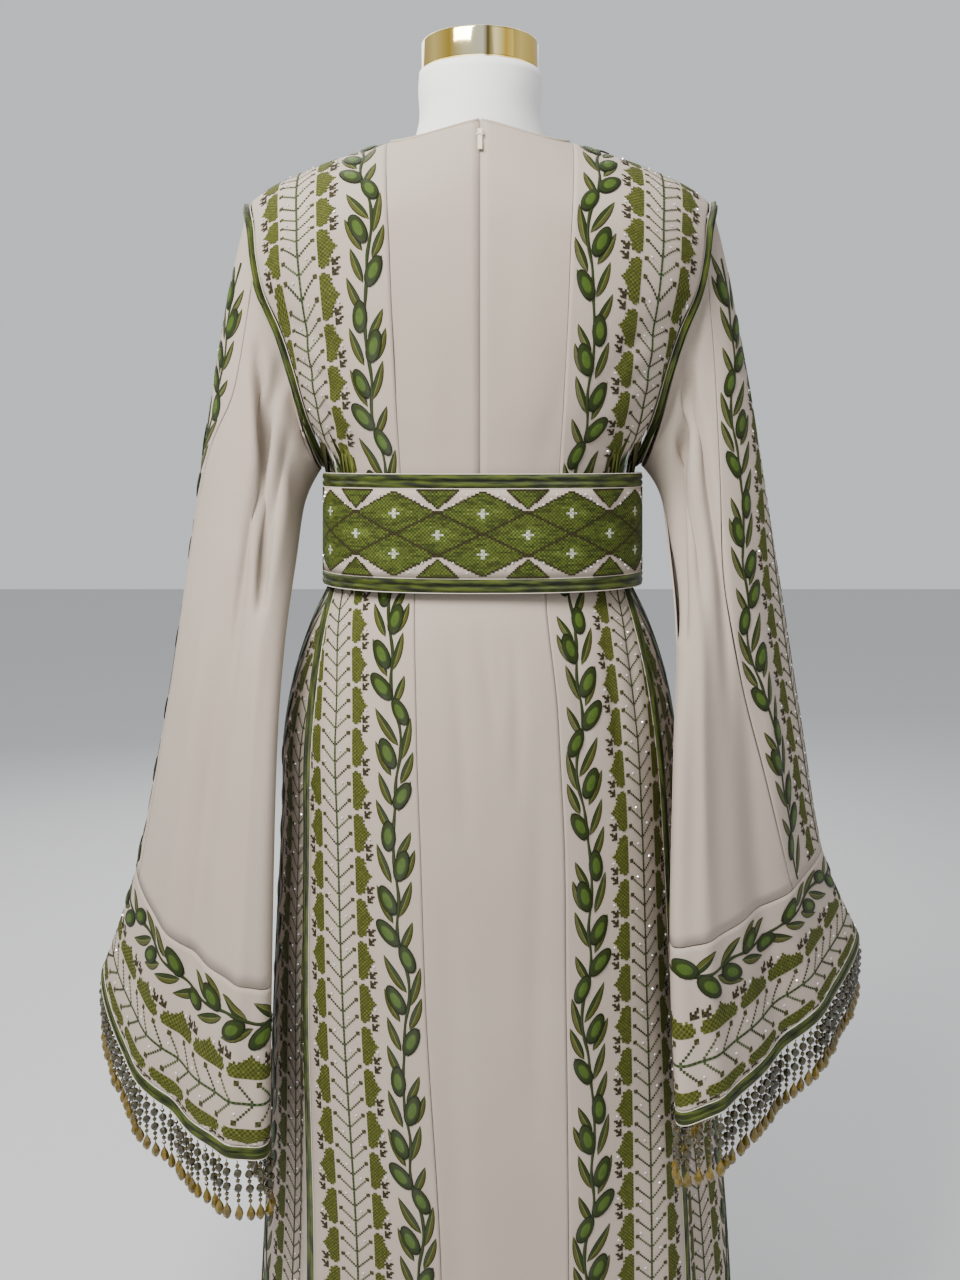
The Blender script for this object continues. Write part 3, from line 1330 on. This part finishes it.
def tube(name, points, radius, sides, material, replaces=()):
    """A round cord through a line of points, closed at both ends."""
    along = unit(np.gradient(points, axis=0))
    up = np.array([0.0, 0.0, 1.0])
    side = unit(np.cross(along, up + 1e-4))
    over = unit(np.cross(side, along))
    turns = np.linspace(0, 2 * math.pi, sides + 1)
    radii = np.broadcast_to(radius, len(points))[:, None, None]
    circle = side[:, None] * np.cos(turns)[:, None] + over[:, None] * np.sin(turns)[:, None]
    grid = points[:, None] + circle * radii
    flat = (np.tile(turns * 0.004, (len(points), 1)), np.tile(lengths_along(points)[:, None], (1, sides + 1)))
    bm = grid_shape(grid, flat)
    close_up(bm, 0.000005)
    return object_from(name, bm, material, replaces)


def build_neck():
    steps = eased(30)
    left = np.concatenate([neckline("back", steps)[:-1], neckline("front", steps)[::-1]])
    points = np.concatenate([left, mirror_x(left[-2::-1])])
    points[0, 0], points[-1, 0] = SEAM, -SEAM
    tube("neck_roll", points, NECK_BINDING_RADIUS, 12, CREPE, ("neck_binding",))


# ---------------------------------------------------------------- pipings


SATIN_WALL = 0.0016
CORD_RADIUS, CORD_LIFT = 0.00045, 0.0008


def piping_lifts(cloth, height):
    """Two rounded ridges with a groove between them, and a flat edge beyond."""
    share = np.linspace(0, 1, cloth.points.shape[1])
    first = np.clip((share - 0.05) / 0.44, 0, 1)
    second = np.clip((share - 0.51) / 0.44, 0, 1)
    profile = np.sin(math.pi * first) ** 0.55 + np.sin(math.pi * second) ** 0.55
    return np.broadcast_to(0.0004 + height * profile, cloth.points.shape[:2])


def piping(name, cloth, node, height=0.0014):
    """The satin band, with a thin pale cord along each edge."""
    lifts = piping_lifts(cloth, height)
    made = cloth_wall(name, cloth, PIPING, (node,), SATIN_WALL, lifts, offset=-1.0)
    for place, column in (("near", 0), ("far", -1)):
        lifted = cloth.points[:, column] + cloth.normals[:, column] * CORD_LIFT
        tube(f"{name}_{place}_edge", lifted, CORD_RADIUS, 6, EDGE)
    declare(Cloth(cloth.points + cloth.normals * lifts[..., None], cloth.middle))


# ---------------------------------------------------------------- skirt


SKIRT_MIDDLE = np.array([-0.008, 0.0, 0.5])
BACK_FOLDS = (
    ([(0.034, 0.10), (0.040, 0.24)], 0.0075, 0.0024),
    ([(0.062, 0.09), (0.058, 0.19)], 0.0070, 0.0020),
    ([(0.090, 0.10), (0.088, 0.27)], 0.0080, 0.0022),
    ([(0.048, 0.10), (0.049, 0.16)], 0.0050, 0.0013),
    ([(0.020, 0.20), (0.030, 0.55)], 0.0120, 0.0020),
    ([(0.105, 0.35), (0.100, 0.80)], 0.0140, 0.0022),
)
FRONT_FOLDS = (
    ([(0.05, 0.10), (0.07, 0.40)], 0.012, 0.003),
    ([(0.11, 0.09), (0.12, 0.28)], 0.010, 0.0028),
    ([(0.16, 0.12), (0.17, 0.60)], 0.014, 0.003),
)
BACK_SIDE_FOLDS = (
    ([(0.020, 0.10), (0.024, 0.20)], 0.0065, 0.0020),
    ([(0.055, 0.09), (0.060, 0.24)], 0.0075, 0.0022),
    ([(0.085, 0.10), (0.082, 0.19)], 0.0060, 0.0018),
)
FRONT_SIDE_FOLDS = (
    ([(0.14, 0.10), (0.15, 0.32)], 0.010, 0.003),
    ([(0.19, 0.12), (0.21, 0.50)], 0.013, 0.003),
)
# The panels of one side: piece, node, work, its two edges, columns, folds, start in the block, in the branch
SKIRT_SIDES = (
    ("skirt_side_back_", "skirt_back_side_", "skirt_back_", (0, 1), 46, BACK_SIDE_FOLDS, 0, None),
    ("skirt_wedge_", "skirt_side_", "skirt_wedge_", (3, 2), 30, (), 7, 0.09),
    ("skirt_side_front_", "skirt_front_side_", "skirt_front_", (5, 4), 56, FRONT_SIDE_FOLDS, 2, 0.04),
)
SKIRT_FIRSTS = {"left": (3, 0.02), "right": (11, 0.05)}
SKIRT_WORK = (0.030, 0.998)  # how far down the skirt the embroidery starts and ends
SKIRT_PIPINGS = (
    ("skirt_piping_back_", "skirt_back_piping_", (1, 2)),
    ("skirt_piping_side_", "skirt_side_piping_", (3, 4)),
)


def side_cut(hand, edges, columns):
    """A piece of one side, its columns running from the first of its two edges to the second."""
    low, high = sorted(edges)
    if hand == "left":
        points = skirt_piece(lambda p: (p["left"][low], p["left"][high]), columns)
    else:
        points = skirt_piece(lambda p: (p["around"] - p["right"][high], p["around"] - p["right"][low]), columns)
        points = points[:, ::-1]
    return Cloth(points if edges[0] == low else points[:, ::-1], SKIRT_MIDDLE)


def build_skirt():
    def back_edges(places):
        return places["around"] - places["right"][0], places["around"] + places["left"][0]

    def front_edges(places):
        return places["left"][5], places["around"] - places["right"][5]

    for face, edges, columns, folds in (
        ("back", back_edges, 44, BACK_FOLDS),
        ("front", front_edges, 60, FRONT_FOLDS),
    ):
        cloth = Cloth(skirt_piece(edges, columns), SKIRT_MIDDLE)
        cloth.press(folds)
        made = cloth_wall("skirt_centre_" + face, cloth, CREPE, (f"skirt_{face}_centre",))
        declare(cloth)

    for hand in HANDS:
        block, branch = SKIRT_FIRSTS[hand]
        for piece, node, worked, edges, columns, folds, block_on, branch_on in SKIRT_SIDES:
            cloth = side_cut(hand, edges, columns)
            if folds:
                cloth.press(folds)
            made = cloth_wall(piece + hand, cloth, CREPE, (node + hand,))
            start = branch if branch_on is None else branch_on
            work = embroider(worked + hand, cloth, *SKIRT_WORK, block + block_on, start)
            declare(cloth)
        for name, node, edges in SKIRT_PIPINGS:
            piping(name + hand, side_cut(hand, edges, 15), node + hand, 0.0030)


# ---------------------------------------------------------------- sleeves and cuffs

CUFF_PITCH = 0.0023
CUFF_OLIVE = 0.047
CUFF_START = CUFF_OLIVE + 0.002
CUFF_WIDTH = CUFF_START + COLUMN_STITCHES * CUFF_PITCH + 0.003
CUFF_BLOCK, CUFF_BRANCH, CUFF_SCALE, CUFF_MARGIN = 4, 0.02, 1.08, 0.0005
SLEEVE_STOPS = np.linspace(0.0, CUFF_AT, 74)
SLEEVE_TOP = PIPING_WIDTH + 2 * FOLD_GAP  # the piping lies above the sleeve's own cloth
TOP_ROWS = 12  # rows over which the sleeve's first row evens out
CUFF_HEM = PIPING_WIDTH + 2 * SEAM
CUFF_HEM_SHARES = (0.18, 0.42, 0.72, 1.0)  # how the last rows of the cuff draw up to its piping
# Folds of the hanging layers. The back layer's lines are places across and up, as (x, z)
SLEEVE_BACK_FOLDS = {
    "left": (
        ([(0.208, 1.184), (0.204, 1.139), (0.2016, 1.088), (0.2008, 1.035), (0.202, 0.950)], 0.0046, 0.0150),
        ([(0.214, 1.170), (0.2105, 1.084), (0.211, 0.990)], 0.0060, -0.0040),
        ([(0.203, 1.233), (0.188, 1.191), (0.174, 1.145), (0.160, 1.098)], 0.0090, 0.0190),
        ([(0.190, 1.110), (0.186, 1.040), (0.190, 0.980)], 0.0070, -0.0030),
        ([(0.232, 0.960), (0.244, 0.851), (0.256, 0.730)], 0.0200, 0.0042),
        ([(0.208, 0.880), (0.215, 0.760), (0.222, 0.640)], 0.0110, 0.0034),
    ),
    "right": (
        (
            [
                *((-0.205, 1.230), (-0.202, 1.197), (-0.193, 1.140)),
                *((-0.189, 1.082), (-0.186, 0.990), (-0.186, 0.925)),
            ],
            0.0046,
            0.0150,
        ),
        ([(-0.206, 1.150), (-0.200, 1.070), (-0.197, 0.980)], 0.0060, -0.0040),
        ([(-0.199, 1.233), (-0.190, 1.187), (-0.180, 1.145), (-0.169, 1.106)], 0.0085, 0.0170),
        ([(-0.222, 0.951), (-0.219, 0.834), (-0.217, 0.700)], 0.0180, 0.0040),
        ([(-0.196, 0.880), (-0.192, 0.770), (-0.189, 0.680)], 0.0100, 0.0030),
    ),
}
SLEEVE_FRONT_FOLDS = (
    ([(0.05, 0.05), (0.07, 0.30)], 0.010, 0.0035),
    ([(0.10, 0.25), (0.09, 0.50)], 0.015, 0.003),
)
SLEEVE_FIRSTS = {"left": (5, 0.03), "right": (12, 0.0)}


def sleeve_rows():
    """Where each row of the hanging layers lies along the sleeve, and how far it is moved down the cloth."""
    rows = [(along, 0.0) for along in SLEEVE_STOPS]
    rows[0] = (0.0, SLEEVE_TOP)
    for index in range(1, TOP_ROWS):
        fade = 1 - index / TOP_ROWS
        rows[index] = (SLEEVE_STOPS[index], SLEEVE_TOP * fade * fade)
    rows[-1] = (CUFF_AT, -SEAM)
    return rows


def cuff_rows():
    rows = [(along, 0.0) for along in np.linspace(CUFF_AT, 1.0, 30)]
    rows[0] = (CUFF_AT, SEAM)
    for place, share in zip(range(-len(CUFF_HEM_SHARES), 0), CUFF_HEM_SHARES):
        rows[place] = (rows[place][0], -CUFF_HEM * share)
    return rows


def all_round(along, inner, around):
    """Edges of a ring that opens at the inner fold."""
    return inner + FOLD_GAP / 2, inner + around - FOLD_GAP / 2


def ring_piece(sheet, rows, columns, turn):
    """A band round the sleeve, with its rows running round and its columns down."""
    return turn(sleeve_piece(sheet, rows, all_round, columns)).transpose(1, 0, 2)


def build_layers(hand, sheet, turn):
    """The embroidered strip on the outer fold, and the plain back and front layers."""

    def strip(along):
        seam = read(STRIP_SEAM, STRIP_COLUMNS, hand, along) / SLEEVE_LEAN
        return seam - SLEEVE_STRIP / SLEEVE_LEAN, seam

    def strip_edges(along, inner, around):
        low, high = strip(along)
        return low + FOLD_GAP / 2, high - FOLD_GAP / 2

    def back_edges(along, inner, around):
        return strip(along)[1], inner - FOLD_GAP / 2

    def front_edges(along, inner, around):
        return inner + FOLD_GAP / 2, around + strip(along)[0]

    rows = sleeve_rows()
    rings = np.array([sleeve_row(sheet, along, 0.0) for along, _ in rows])
    axis = turn(np.mean(rings, axis=1, keepdims=True))

    cloth = Cloth(turn(sleeve_piece(sheet, rows, strip_edges, 64)[:, ::-1]), axis)
    made = cloth_wall("sleeve_fold_" + hand, cloth, CREPE, ("sleeve_strip_" + hand,))
    length = cloth.v[:, 0].max()
    work = embroider("sleeve_" + hand, cloth, 0.0, length - 0.002, *SLEEVE_FIRSTS[hand])
    declare(cloth)

    for face, edges, folds, upright in (
        ("back", back_edges, SLEEVE_BACK_FOLDS[hand], True),
        ("front", front_edges, SLEEVE_FRONT_FOLDS, False),
    ):
        cloth = Cloth(turn(sleeve_piece(sheet, rows, edges, 60)), axis)
        cloth.press(folds, upright)
        made = cloth_wall(f"sleeve_plain_{face}_{hand}", cloth, CREPE, (f"sleeve_{face}_{hand}",))
        declare(cloth)


def build_cuff(hand, sheet, turn):
    points = ring_piece(sheet, cuff_rows(), 200, turn)
    cloth = Cloth(points, np.mean(points, axis=0, keepdims=True), nominal=CUFF_WIDTH)
    made = cloth_wall("flared_cuff_" + hand, cloth, CREPE, ("cuff_" + hand,))
    around = cloth.v[:, 0].max()
    rows = int(around / CUFF_PITCH)
    start, pitch = (CUFF_START, 0.0), (CUFF_PITCH, CUFF_PITCH)
    chart = column_chart(rows, CUFF_BLOCK)
    work = [
        stitch_patch("cross_stitch_cuff_" + hand, cloth, chart, start, pitch),
        olive_branch("olive_branch_cuff_" + hand, cloth, 0.0, around, CUFF_BRANCH, CUFF_SCALE, CUFF_MARGIN),
        rhinestones("rhinestones_cuff_" + hand, cloth, column_stones(start, rows, pitch, CUFF_BLOCK), 0.0012),
    ]
    declare(cloth)


def build_sleeve(hand):
    turn = mirror_x if hand == "right" else np.array
    sheet = sleeve_sheet(hand)
    build_layers(hand, sheet, turn)
    build_cuff(hand, sheet, turn)

    rows = [(1.0, -PIPING_WIDTH * share) for share in np.linspace(1, 0, 13)]
    hem = ring_piece(sheet, rows, 200, turn)
    cloth = Cloth(hem, np.mean(hem, axis=0, keepdims=True))
    piping("cuff_satin_" + hand, cloth, "cuff_piping_" + hand)

    width = PIPING_WIDTH - 2 * SEAM - 2 * WALL
    points = ring_piece(sheet, [(0.0, 2 * WALL + width * share) for share in np.linspace(0, 1, 13)], 150, turn)
    cloth = Cloth(points, np.mean(points, axis=(0, 1)))
    piping("armhole_satin_" + hand, cloth, "armhole_piping_" + hand, 0.0060)
    build_fringe(hand, hem[:, -1])


# ---------------------------------------------------------------- bead fringe

# One strand from the top down: length of each stretch, its radius, and its tone
THREAD_RADIUS = 0.0004
GAP = (0.0008, THREAD_RADIUS, "smoky_bead")
SMALL_BEAD = (0.0044, 0.0022, "small_bead")
LARGE_BEAD = (0.0086, 0.0041, "smoky_bead")
STRAND = (
    (0.0030, 0.0005, "small_bead"),
    SMALL_BEAD,
    (0.0010, THREAD_RADIUS, "smoky_bead"),
    LARGE_BEAD,
    GAP,
    SMALL_BEAD,
    GAP,
    LARGE_BEAD,
    GAP,
    SMALL_BEAD,
    (0.0008, THREAD_RADIUS, "small_bead"),
    (0.0042, 0.0021, "small_bead"),
    (0.0012, THREAD_RADIUS, "amber_drop"),
)
BEAD_SHAPE = ((0.22, 0.80), (0.5, 1.0), (0.78, 0.80), (1.0, 0.22))  # share down a bead, share of its radius
DROP_LENGTH, DROP_RADIUS = 0.0170, 0.0043
STRAND_SPACING, STRAND_SIDES, STRAND_SWAY = 0.0105, 6, 0.05


def strand_profile(stretch):
    """Radii and heights down a strand, with the tone of each step."""
    heights, radii, tones = [0.0], [0.0005], []
    at = 0.0
    for length, radius, tone in STRAND:
        length = length * stretch
        if radius > 0.001:
            for share, size in BEAD_SHAPE:
                heights.append(at - length * share)
                radii.append(radius * size)
                tones.append(TONE[tone])
        else:
            heights.append(at - length)
            radii.append(radius)
            tones.append(TONE[tone])
        at -= length
    for share in (0.15, 0.38, 0.62, 0.82, 0.95, 1.0):
        heights.append(at - DROP_LENGTH * share)
        radii.append(DROP_RADIUS * math.sin(math.pi * share**1.45) ** 0.75 + 0.0001)
        tones.append(TONE["amber_drop"])
    return heights, radii, tones


def build_fringe(hand, hem):
    """Strands of faceted glass beads, each ending in an amber drop."""
    lengths = lengths_along(hem)
    count = int(lengths[-1] / STRAND_SPACING)
    tops = at_lengths(hem, (np.arange(count) + 0.5) * lengths[-1] / count)
    bm = bmesh.new()
    tone = bm.faces.layers.int.new("tone")
    for x, y, z in tops:
        heights, radii, tones = strand_profile(0.97 + 0.06 * rng.random())
        turn = rng.random() * math.pi
        sway = (STRAND_SWAY * (rng.random() - 0.5), STRAND_SWAY * (rng.random() - 0.5))
        made = bmesh.ops.create_grid(bm, x_segments=STRAND_SIDES, y_segments=len(heights) - 1, size=1.0)
        verts = made["verts"]
        for face in {face for vert in verts for face in vert.link_faces}:
            step = int((face.calc_center_median().y + 1) / 2 * len(tones))
            face[tone] = tones[min(step, len(tones) - 1)]
        for vert in verts:
            step = round((vert.co.y + 1) / 2 * (len(heights) - 1))
            angle = turn + (vert.co.x + 1) / 2 * 2 * math.pi
            height = heights[step]
            vert.co = (
                x + radii[step] * math.cos(angle) + sway[0] * -height,
                y + radii[step] * math.sin(angle) + sway[1] * -height,
                z - SATIN_WALL + height,
            )
    close_up(bm, 0.00002)
    made = object_from("bead_strands_" + hand, bm, GLASS, ("bead_fringe_" + hand,))
    dye(made.data, 0.30)
    made.data.shade_flat()


# ---------------------------------------------------------------- belt

BELT_PERIOD, BELT_ROWS = 46, 46  # stitches of one repeat along the belt, and across it
BELT_REPEAT = 0.0796  # length of one repeat
DIAMOND_ROW, DIAMOND_HALF = 12.0, 11.5  # middle and half height of the outer diamonds, in stitches
TRIANGLE_HALF, TRIANGLE_ROWS = 12.0, 10.5
OUTLINE_FROM = 0.93  # share of a diamond's reach beyond which its outline runs
FIELD_THREADS = ("belt_deep", "belt_field", "belt_field", "belt_bright")
RUN = 5  # stitches worked before the variegated thread changes
BELT_LIFT = 0.0016
BELT_WALL = 0.0022
STONE_SHARES = (0.30, 0.62, 0.85)


def crossed(across, down):
    """Whether a stitch belongs to the small cross at a diamond's middle."""
    across, down = abs(across), abs(down - 0.5)
    return (across < 1 and down < 2.6) or (across < 2.6 and down < 0.6)


def belt_chart(columns):
    """Diamonds in two rows, a half-dropped row between them, and triangles along both edges."""
    chart = np.zeros((columns, BELT_ROWS), int)
    half, centre = BELT_PERIOD / 2, BELT_ROWS / 2
    runs = rng.integers(0, 3, (columns // RUN + 2, BELT_ROWS))
    shift = rng.integers(0, RUN, BELT_ROWS)
    streaks = runs[(np.arange(columns)[:, None] + shift) // RUN, np.arange(BELT_ROWS)]
    line = TONE["belt_line"]
    for column in range(columns):
        side = abs((column + 0.5 + half) % BELT_PERIOD - half)
        for row in range(BELT_ROWS):
            down = min(row + 0.5, BELT_ROWS - row - 0.5)
            outer = (half - side) / half + abs(down - DIAMOND_ROW) / DIAMOND_HALF
            inner = side / half + abs(row + 0.5 - centre) / DIAMOND_HALF
            bright = 1 if min(outer, inner) < 0.5 else 0
            field = TONE[FIELD_THREADS[streaks[column, row] + bright]]
            if outer <= 1.0:
                chart[column, row] = line if outer > OUTLINE_FROM else field
                if crossed(half - side, down - DIAMOND_ROW):
                    chart[column, row] = TONE["belt_cross"]
            elif inner <= 1.0:
                chart[column, row] = line if inner > OUTLINE_FROM else field
                if crossed(side, row + 0.5 - centre):
                    chart[column, row] = TONE["belt_cross"]
            elif down < 11:
                edge = side - TRIANGLE_HALF * (1 - down / TRIANGLE_ROWS)
                if edge < 0 and down < TRIANGLE_ROWS:
                    chart[column, row] = line if edge > -1.6 or down < 0.6 else field
            else:
                chart[column, row] = line
    return chart


def belt_stones(periods, pitch, around):
    """Stones along the sloping edges of the pale ground."""
    stones = []
    for place in range(periods):
        for side in (-1, 1):
            for share in STONE_SHARES:
                for top in (True, False):
                    if rng.random() < 0.75:
                        down = 9.5 * (1 - share) + 1.4
                        across = (place * BELT_PERIOD + side * (4 + 13 * share)) * pitch[1]
                        stones.append(((down if top else BELT_ROWS - down) * pitch[0], across % around))
    return stones


def belt_band(high, low, columns, nominal=None):
    rings = [belt_ring(height, 300) for height in np.linspace(high, low, columns)]
    return Cloth(np.array(rings).transpose(1, 0, 2), np.array([BELT_SHIFT, 0.0, 1.0]), nominal)


def build_belt():
    high = BELT_TOP - BELT_PIPING_WIDTH - SEAM
    low = BELT_BOTTOM + BELT_PIPING_WIDTH + SEAM
    cloth = belt_band(high, low, 12, high - low)
    made = cloth_wall("belt_ground", cloth, CREPE, ("belt_band",), BELT_WALL)
    around = cloth.v[:, 0].max()
    periods = round(around / BELT_REPEAT)
    pitch = ((high - low) / BELT_ROWS, around / (periods * BELT_PERIOD))
    chart = belt_chart(periods * BELT_PERIOD)
    stones = belt_stones(periods, pitch, around)
    work = [
        stitch_patch("belt_cross_stitch", cloth, chart, (0.0, 0.0), pitch, BELT_LIFT),
        rhinestones("belt_rhinestones", cloth, stones),
    ]
    declare(cloth)
    for edge, top, bottom in (
        ("top", BELT_TOP, BELT_TOP - BELT_PIPING_WIDTH),
        ("bottom", BELT_BOTTOM + BELT_PIPING_WIDTH, BELT_BOTTOM),
    ):
        piping("belt_satin_" + edge, belt_band(top, bottom, 11), "belt_piping_" + edge)


# ---------------------------------------------------------------- form, zip, stand


def build_form():
    heights = np.linspace(FORM[0][0], FORM[-1][0], 100)
    turns = np.linspace(0, 2 * math.pi, 81)
    rows = []
    for height in heights:
        x = read(FORM, FORM_COLUMNS, "half_width", height) * np.cos(turns)
        y = read(FORM, FORM_COLUMNS, "half_depth", height) * np.sin(turns)
        rows.append(np.stack([x, y, np.full_like(turns, height)], axis=1))
    bm = grid_shape(np.array(rows))
    close_up(bm, 0.00001)
    object_from("linen_form", bm, LINEN, ("form_body",))
    rounded_disc("gold_cap", CAP_RADIUS, CAP_BOTTOM, CAP_TOP, CAP_EDGE, GOLD, "form_cap")
    rounded_disc("round_base", BASE_RADIUS, 0.0, BASE_HEIGHT, BASE_EDGE, STEEL, "stand_base")
    dress("stand_pole", STEEL)


def rounded_disc(name, radius, low, high, edge, material, node):
    """A disc with rounded rims."""
    bm = bmesh.new()
    shape = {"segments": 128, "radius1": radius, "radius2": radius, "depth": high - low}
    made = bmesh.ops.create_cone(bm, cap_ends=True, **shape)
    bmesh.ops.translate(bm, verts=made["verts"], vec=(0, 0, (low + high) / 2))
    rims = [side for side in bm.edges if abs(side.verts[0].co.z - side.verts[1].co.z) < 1e-6]
    bmesh.ops.bevel(bm, geom=rims, offset=edge, segments=4, profile=0.5, affect="EDGES", material=-1)
    piece = object_from(name, bm, material, (node,))
    piece.data.set_sharp_from_angle(angle=math.radians(30))


def dress(node, material):
    """Gives a solid that is shown as it is its finish."""
    solid = frame["nodes"][node]
    solid.data.materials.clear()
    solid.data.materials.append(material)


LUG_RADIUS = 0.0005
PULL_CLEAR = 0.0028  # from the middle to a lug's own middle, clear of the pull's edge


def build_zip():
    """The zip's solids in enamel, and two curved lugs on the slider that the pull swings between."""
    low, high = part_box("zip_slider")
    for node in ("zip_slider", "zip_pull", "zip_tape"):
        dress(node, ENAMEL)
    hinge = np.array(frame["joints"][0]["pos_m"])
    centre = (low.z + high.z) / 2
    shares = np.linspace(0, 1, 9)[:, None]
    for hand, side in zip(HANDS, (1, -1)):
        edge = side * max(high.x - 0.0002, PULL_CLEAR)
        crown = np.array([edge, (low.y + high.y) / 2, centre - 0.0010])
        bend = np.array([edge, hinge[1] + 0.0004, (centre + hinge[2]) / 2])
        foot = np.array([edge, hinge[1], hinge[2] - 0.0002])
        line = (1 - shares) ** 2 * crown + 2 * shares * (1 - shares) * bend + shares**2 * foot
        tube("slider_lug_" + hand, line, LUG_RADIUS, 8, ENAMEL)


build_bodice()
build_neck()
build_skirt()
build_belt()
for hand in HANDS:
    build_sleeve(hand)
build_form()
build_zip()

# ---------------------------------------------------------------- floor, light and camera

bm = bmesh.new()
bmesh.ops.create_grid(bm, x_segments=1, y_segments=1, size=9.0)
bmesh.ops.translate(bm, verts=bm.verts, vec=(0, 0, -0.001))
floor = linked("floor", mesh_from("floor", bm))
floor.data.materials.append(floor_finish())

world = bpy.data.worlds.new("studio")
bpy.context.scene.world = world
world.use_nodes = True
sky = world.node_tree.nodes["Background"]
sky.inputs["Color"].default_value = (0.94, 0.97, 1.0, 1.0)
sky.inputs["Strength"].default_value = 0.72

# Soft lamps: name, place, what it points at, size, watts and colour
LIGHTS = (
    ("key", (0.80, 1.15, 2.40), (0.0, 0.0, 1.25), 1.0, 88.0, (1.0, 0.985, 0.955)),
    ("fill", (-1.9, 1.8, 1.9), (0.0, 0.0, 0.9), 2.0, 6.0, (0.97, 0.985, 1.0)),
    ("front", (0.5, -2.4, 2.3), (0.0, 0.0, 1.0), 2.2, 60.0, (1.0, 0.99, 0.97)),
)
for name, place, aim, size, power, colour in LIGHTS:
    light = bpy.data.lights.new(name, "AREA")
    light.size = size
    light.energy = power
    light.color = colour
    lamp = linked(name, light)
    lamp.location = place
    away = unit(np.array(place) - np.array(aim))
    lamp.rotation_euler = (math.acos(away[2]), 0, math.atan2(away[1], away[0]) + math.pi / 2)

lens = bpy.data.cameras.new("camera")
lens.lens = 35.16
lens.sensor_width = 36.0
camera = linked("camera", lens)
camera.location = (0.0, 1.24, 1.088)
camera.rotation_euler = (math.radians(81.6), 0.0, math.radians(180.0))
bpy.context.scene.camera = camera
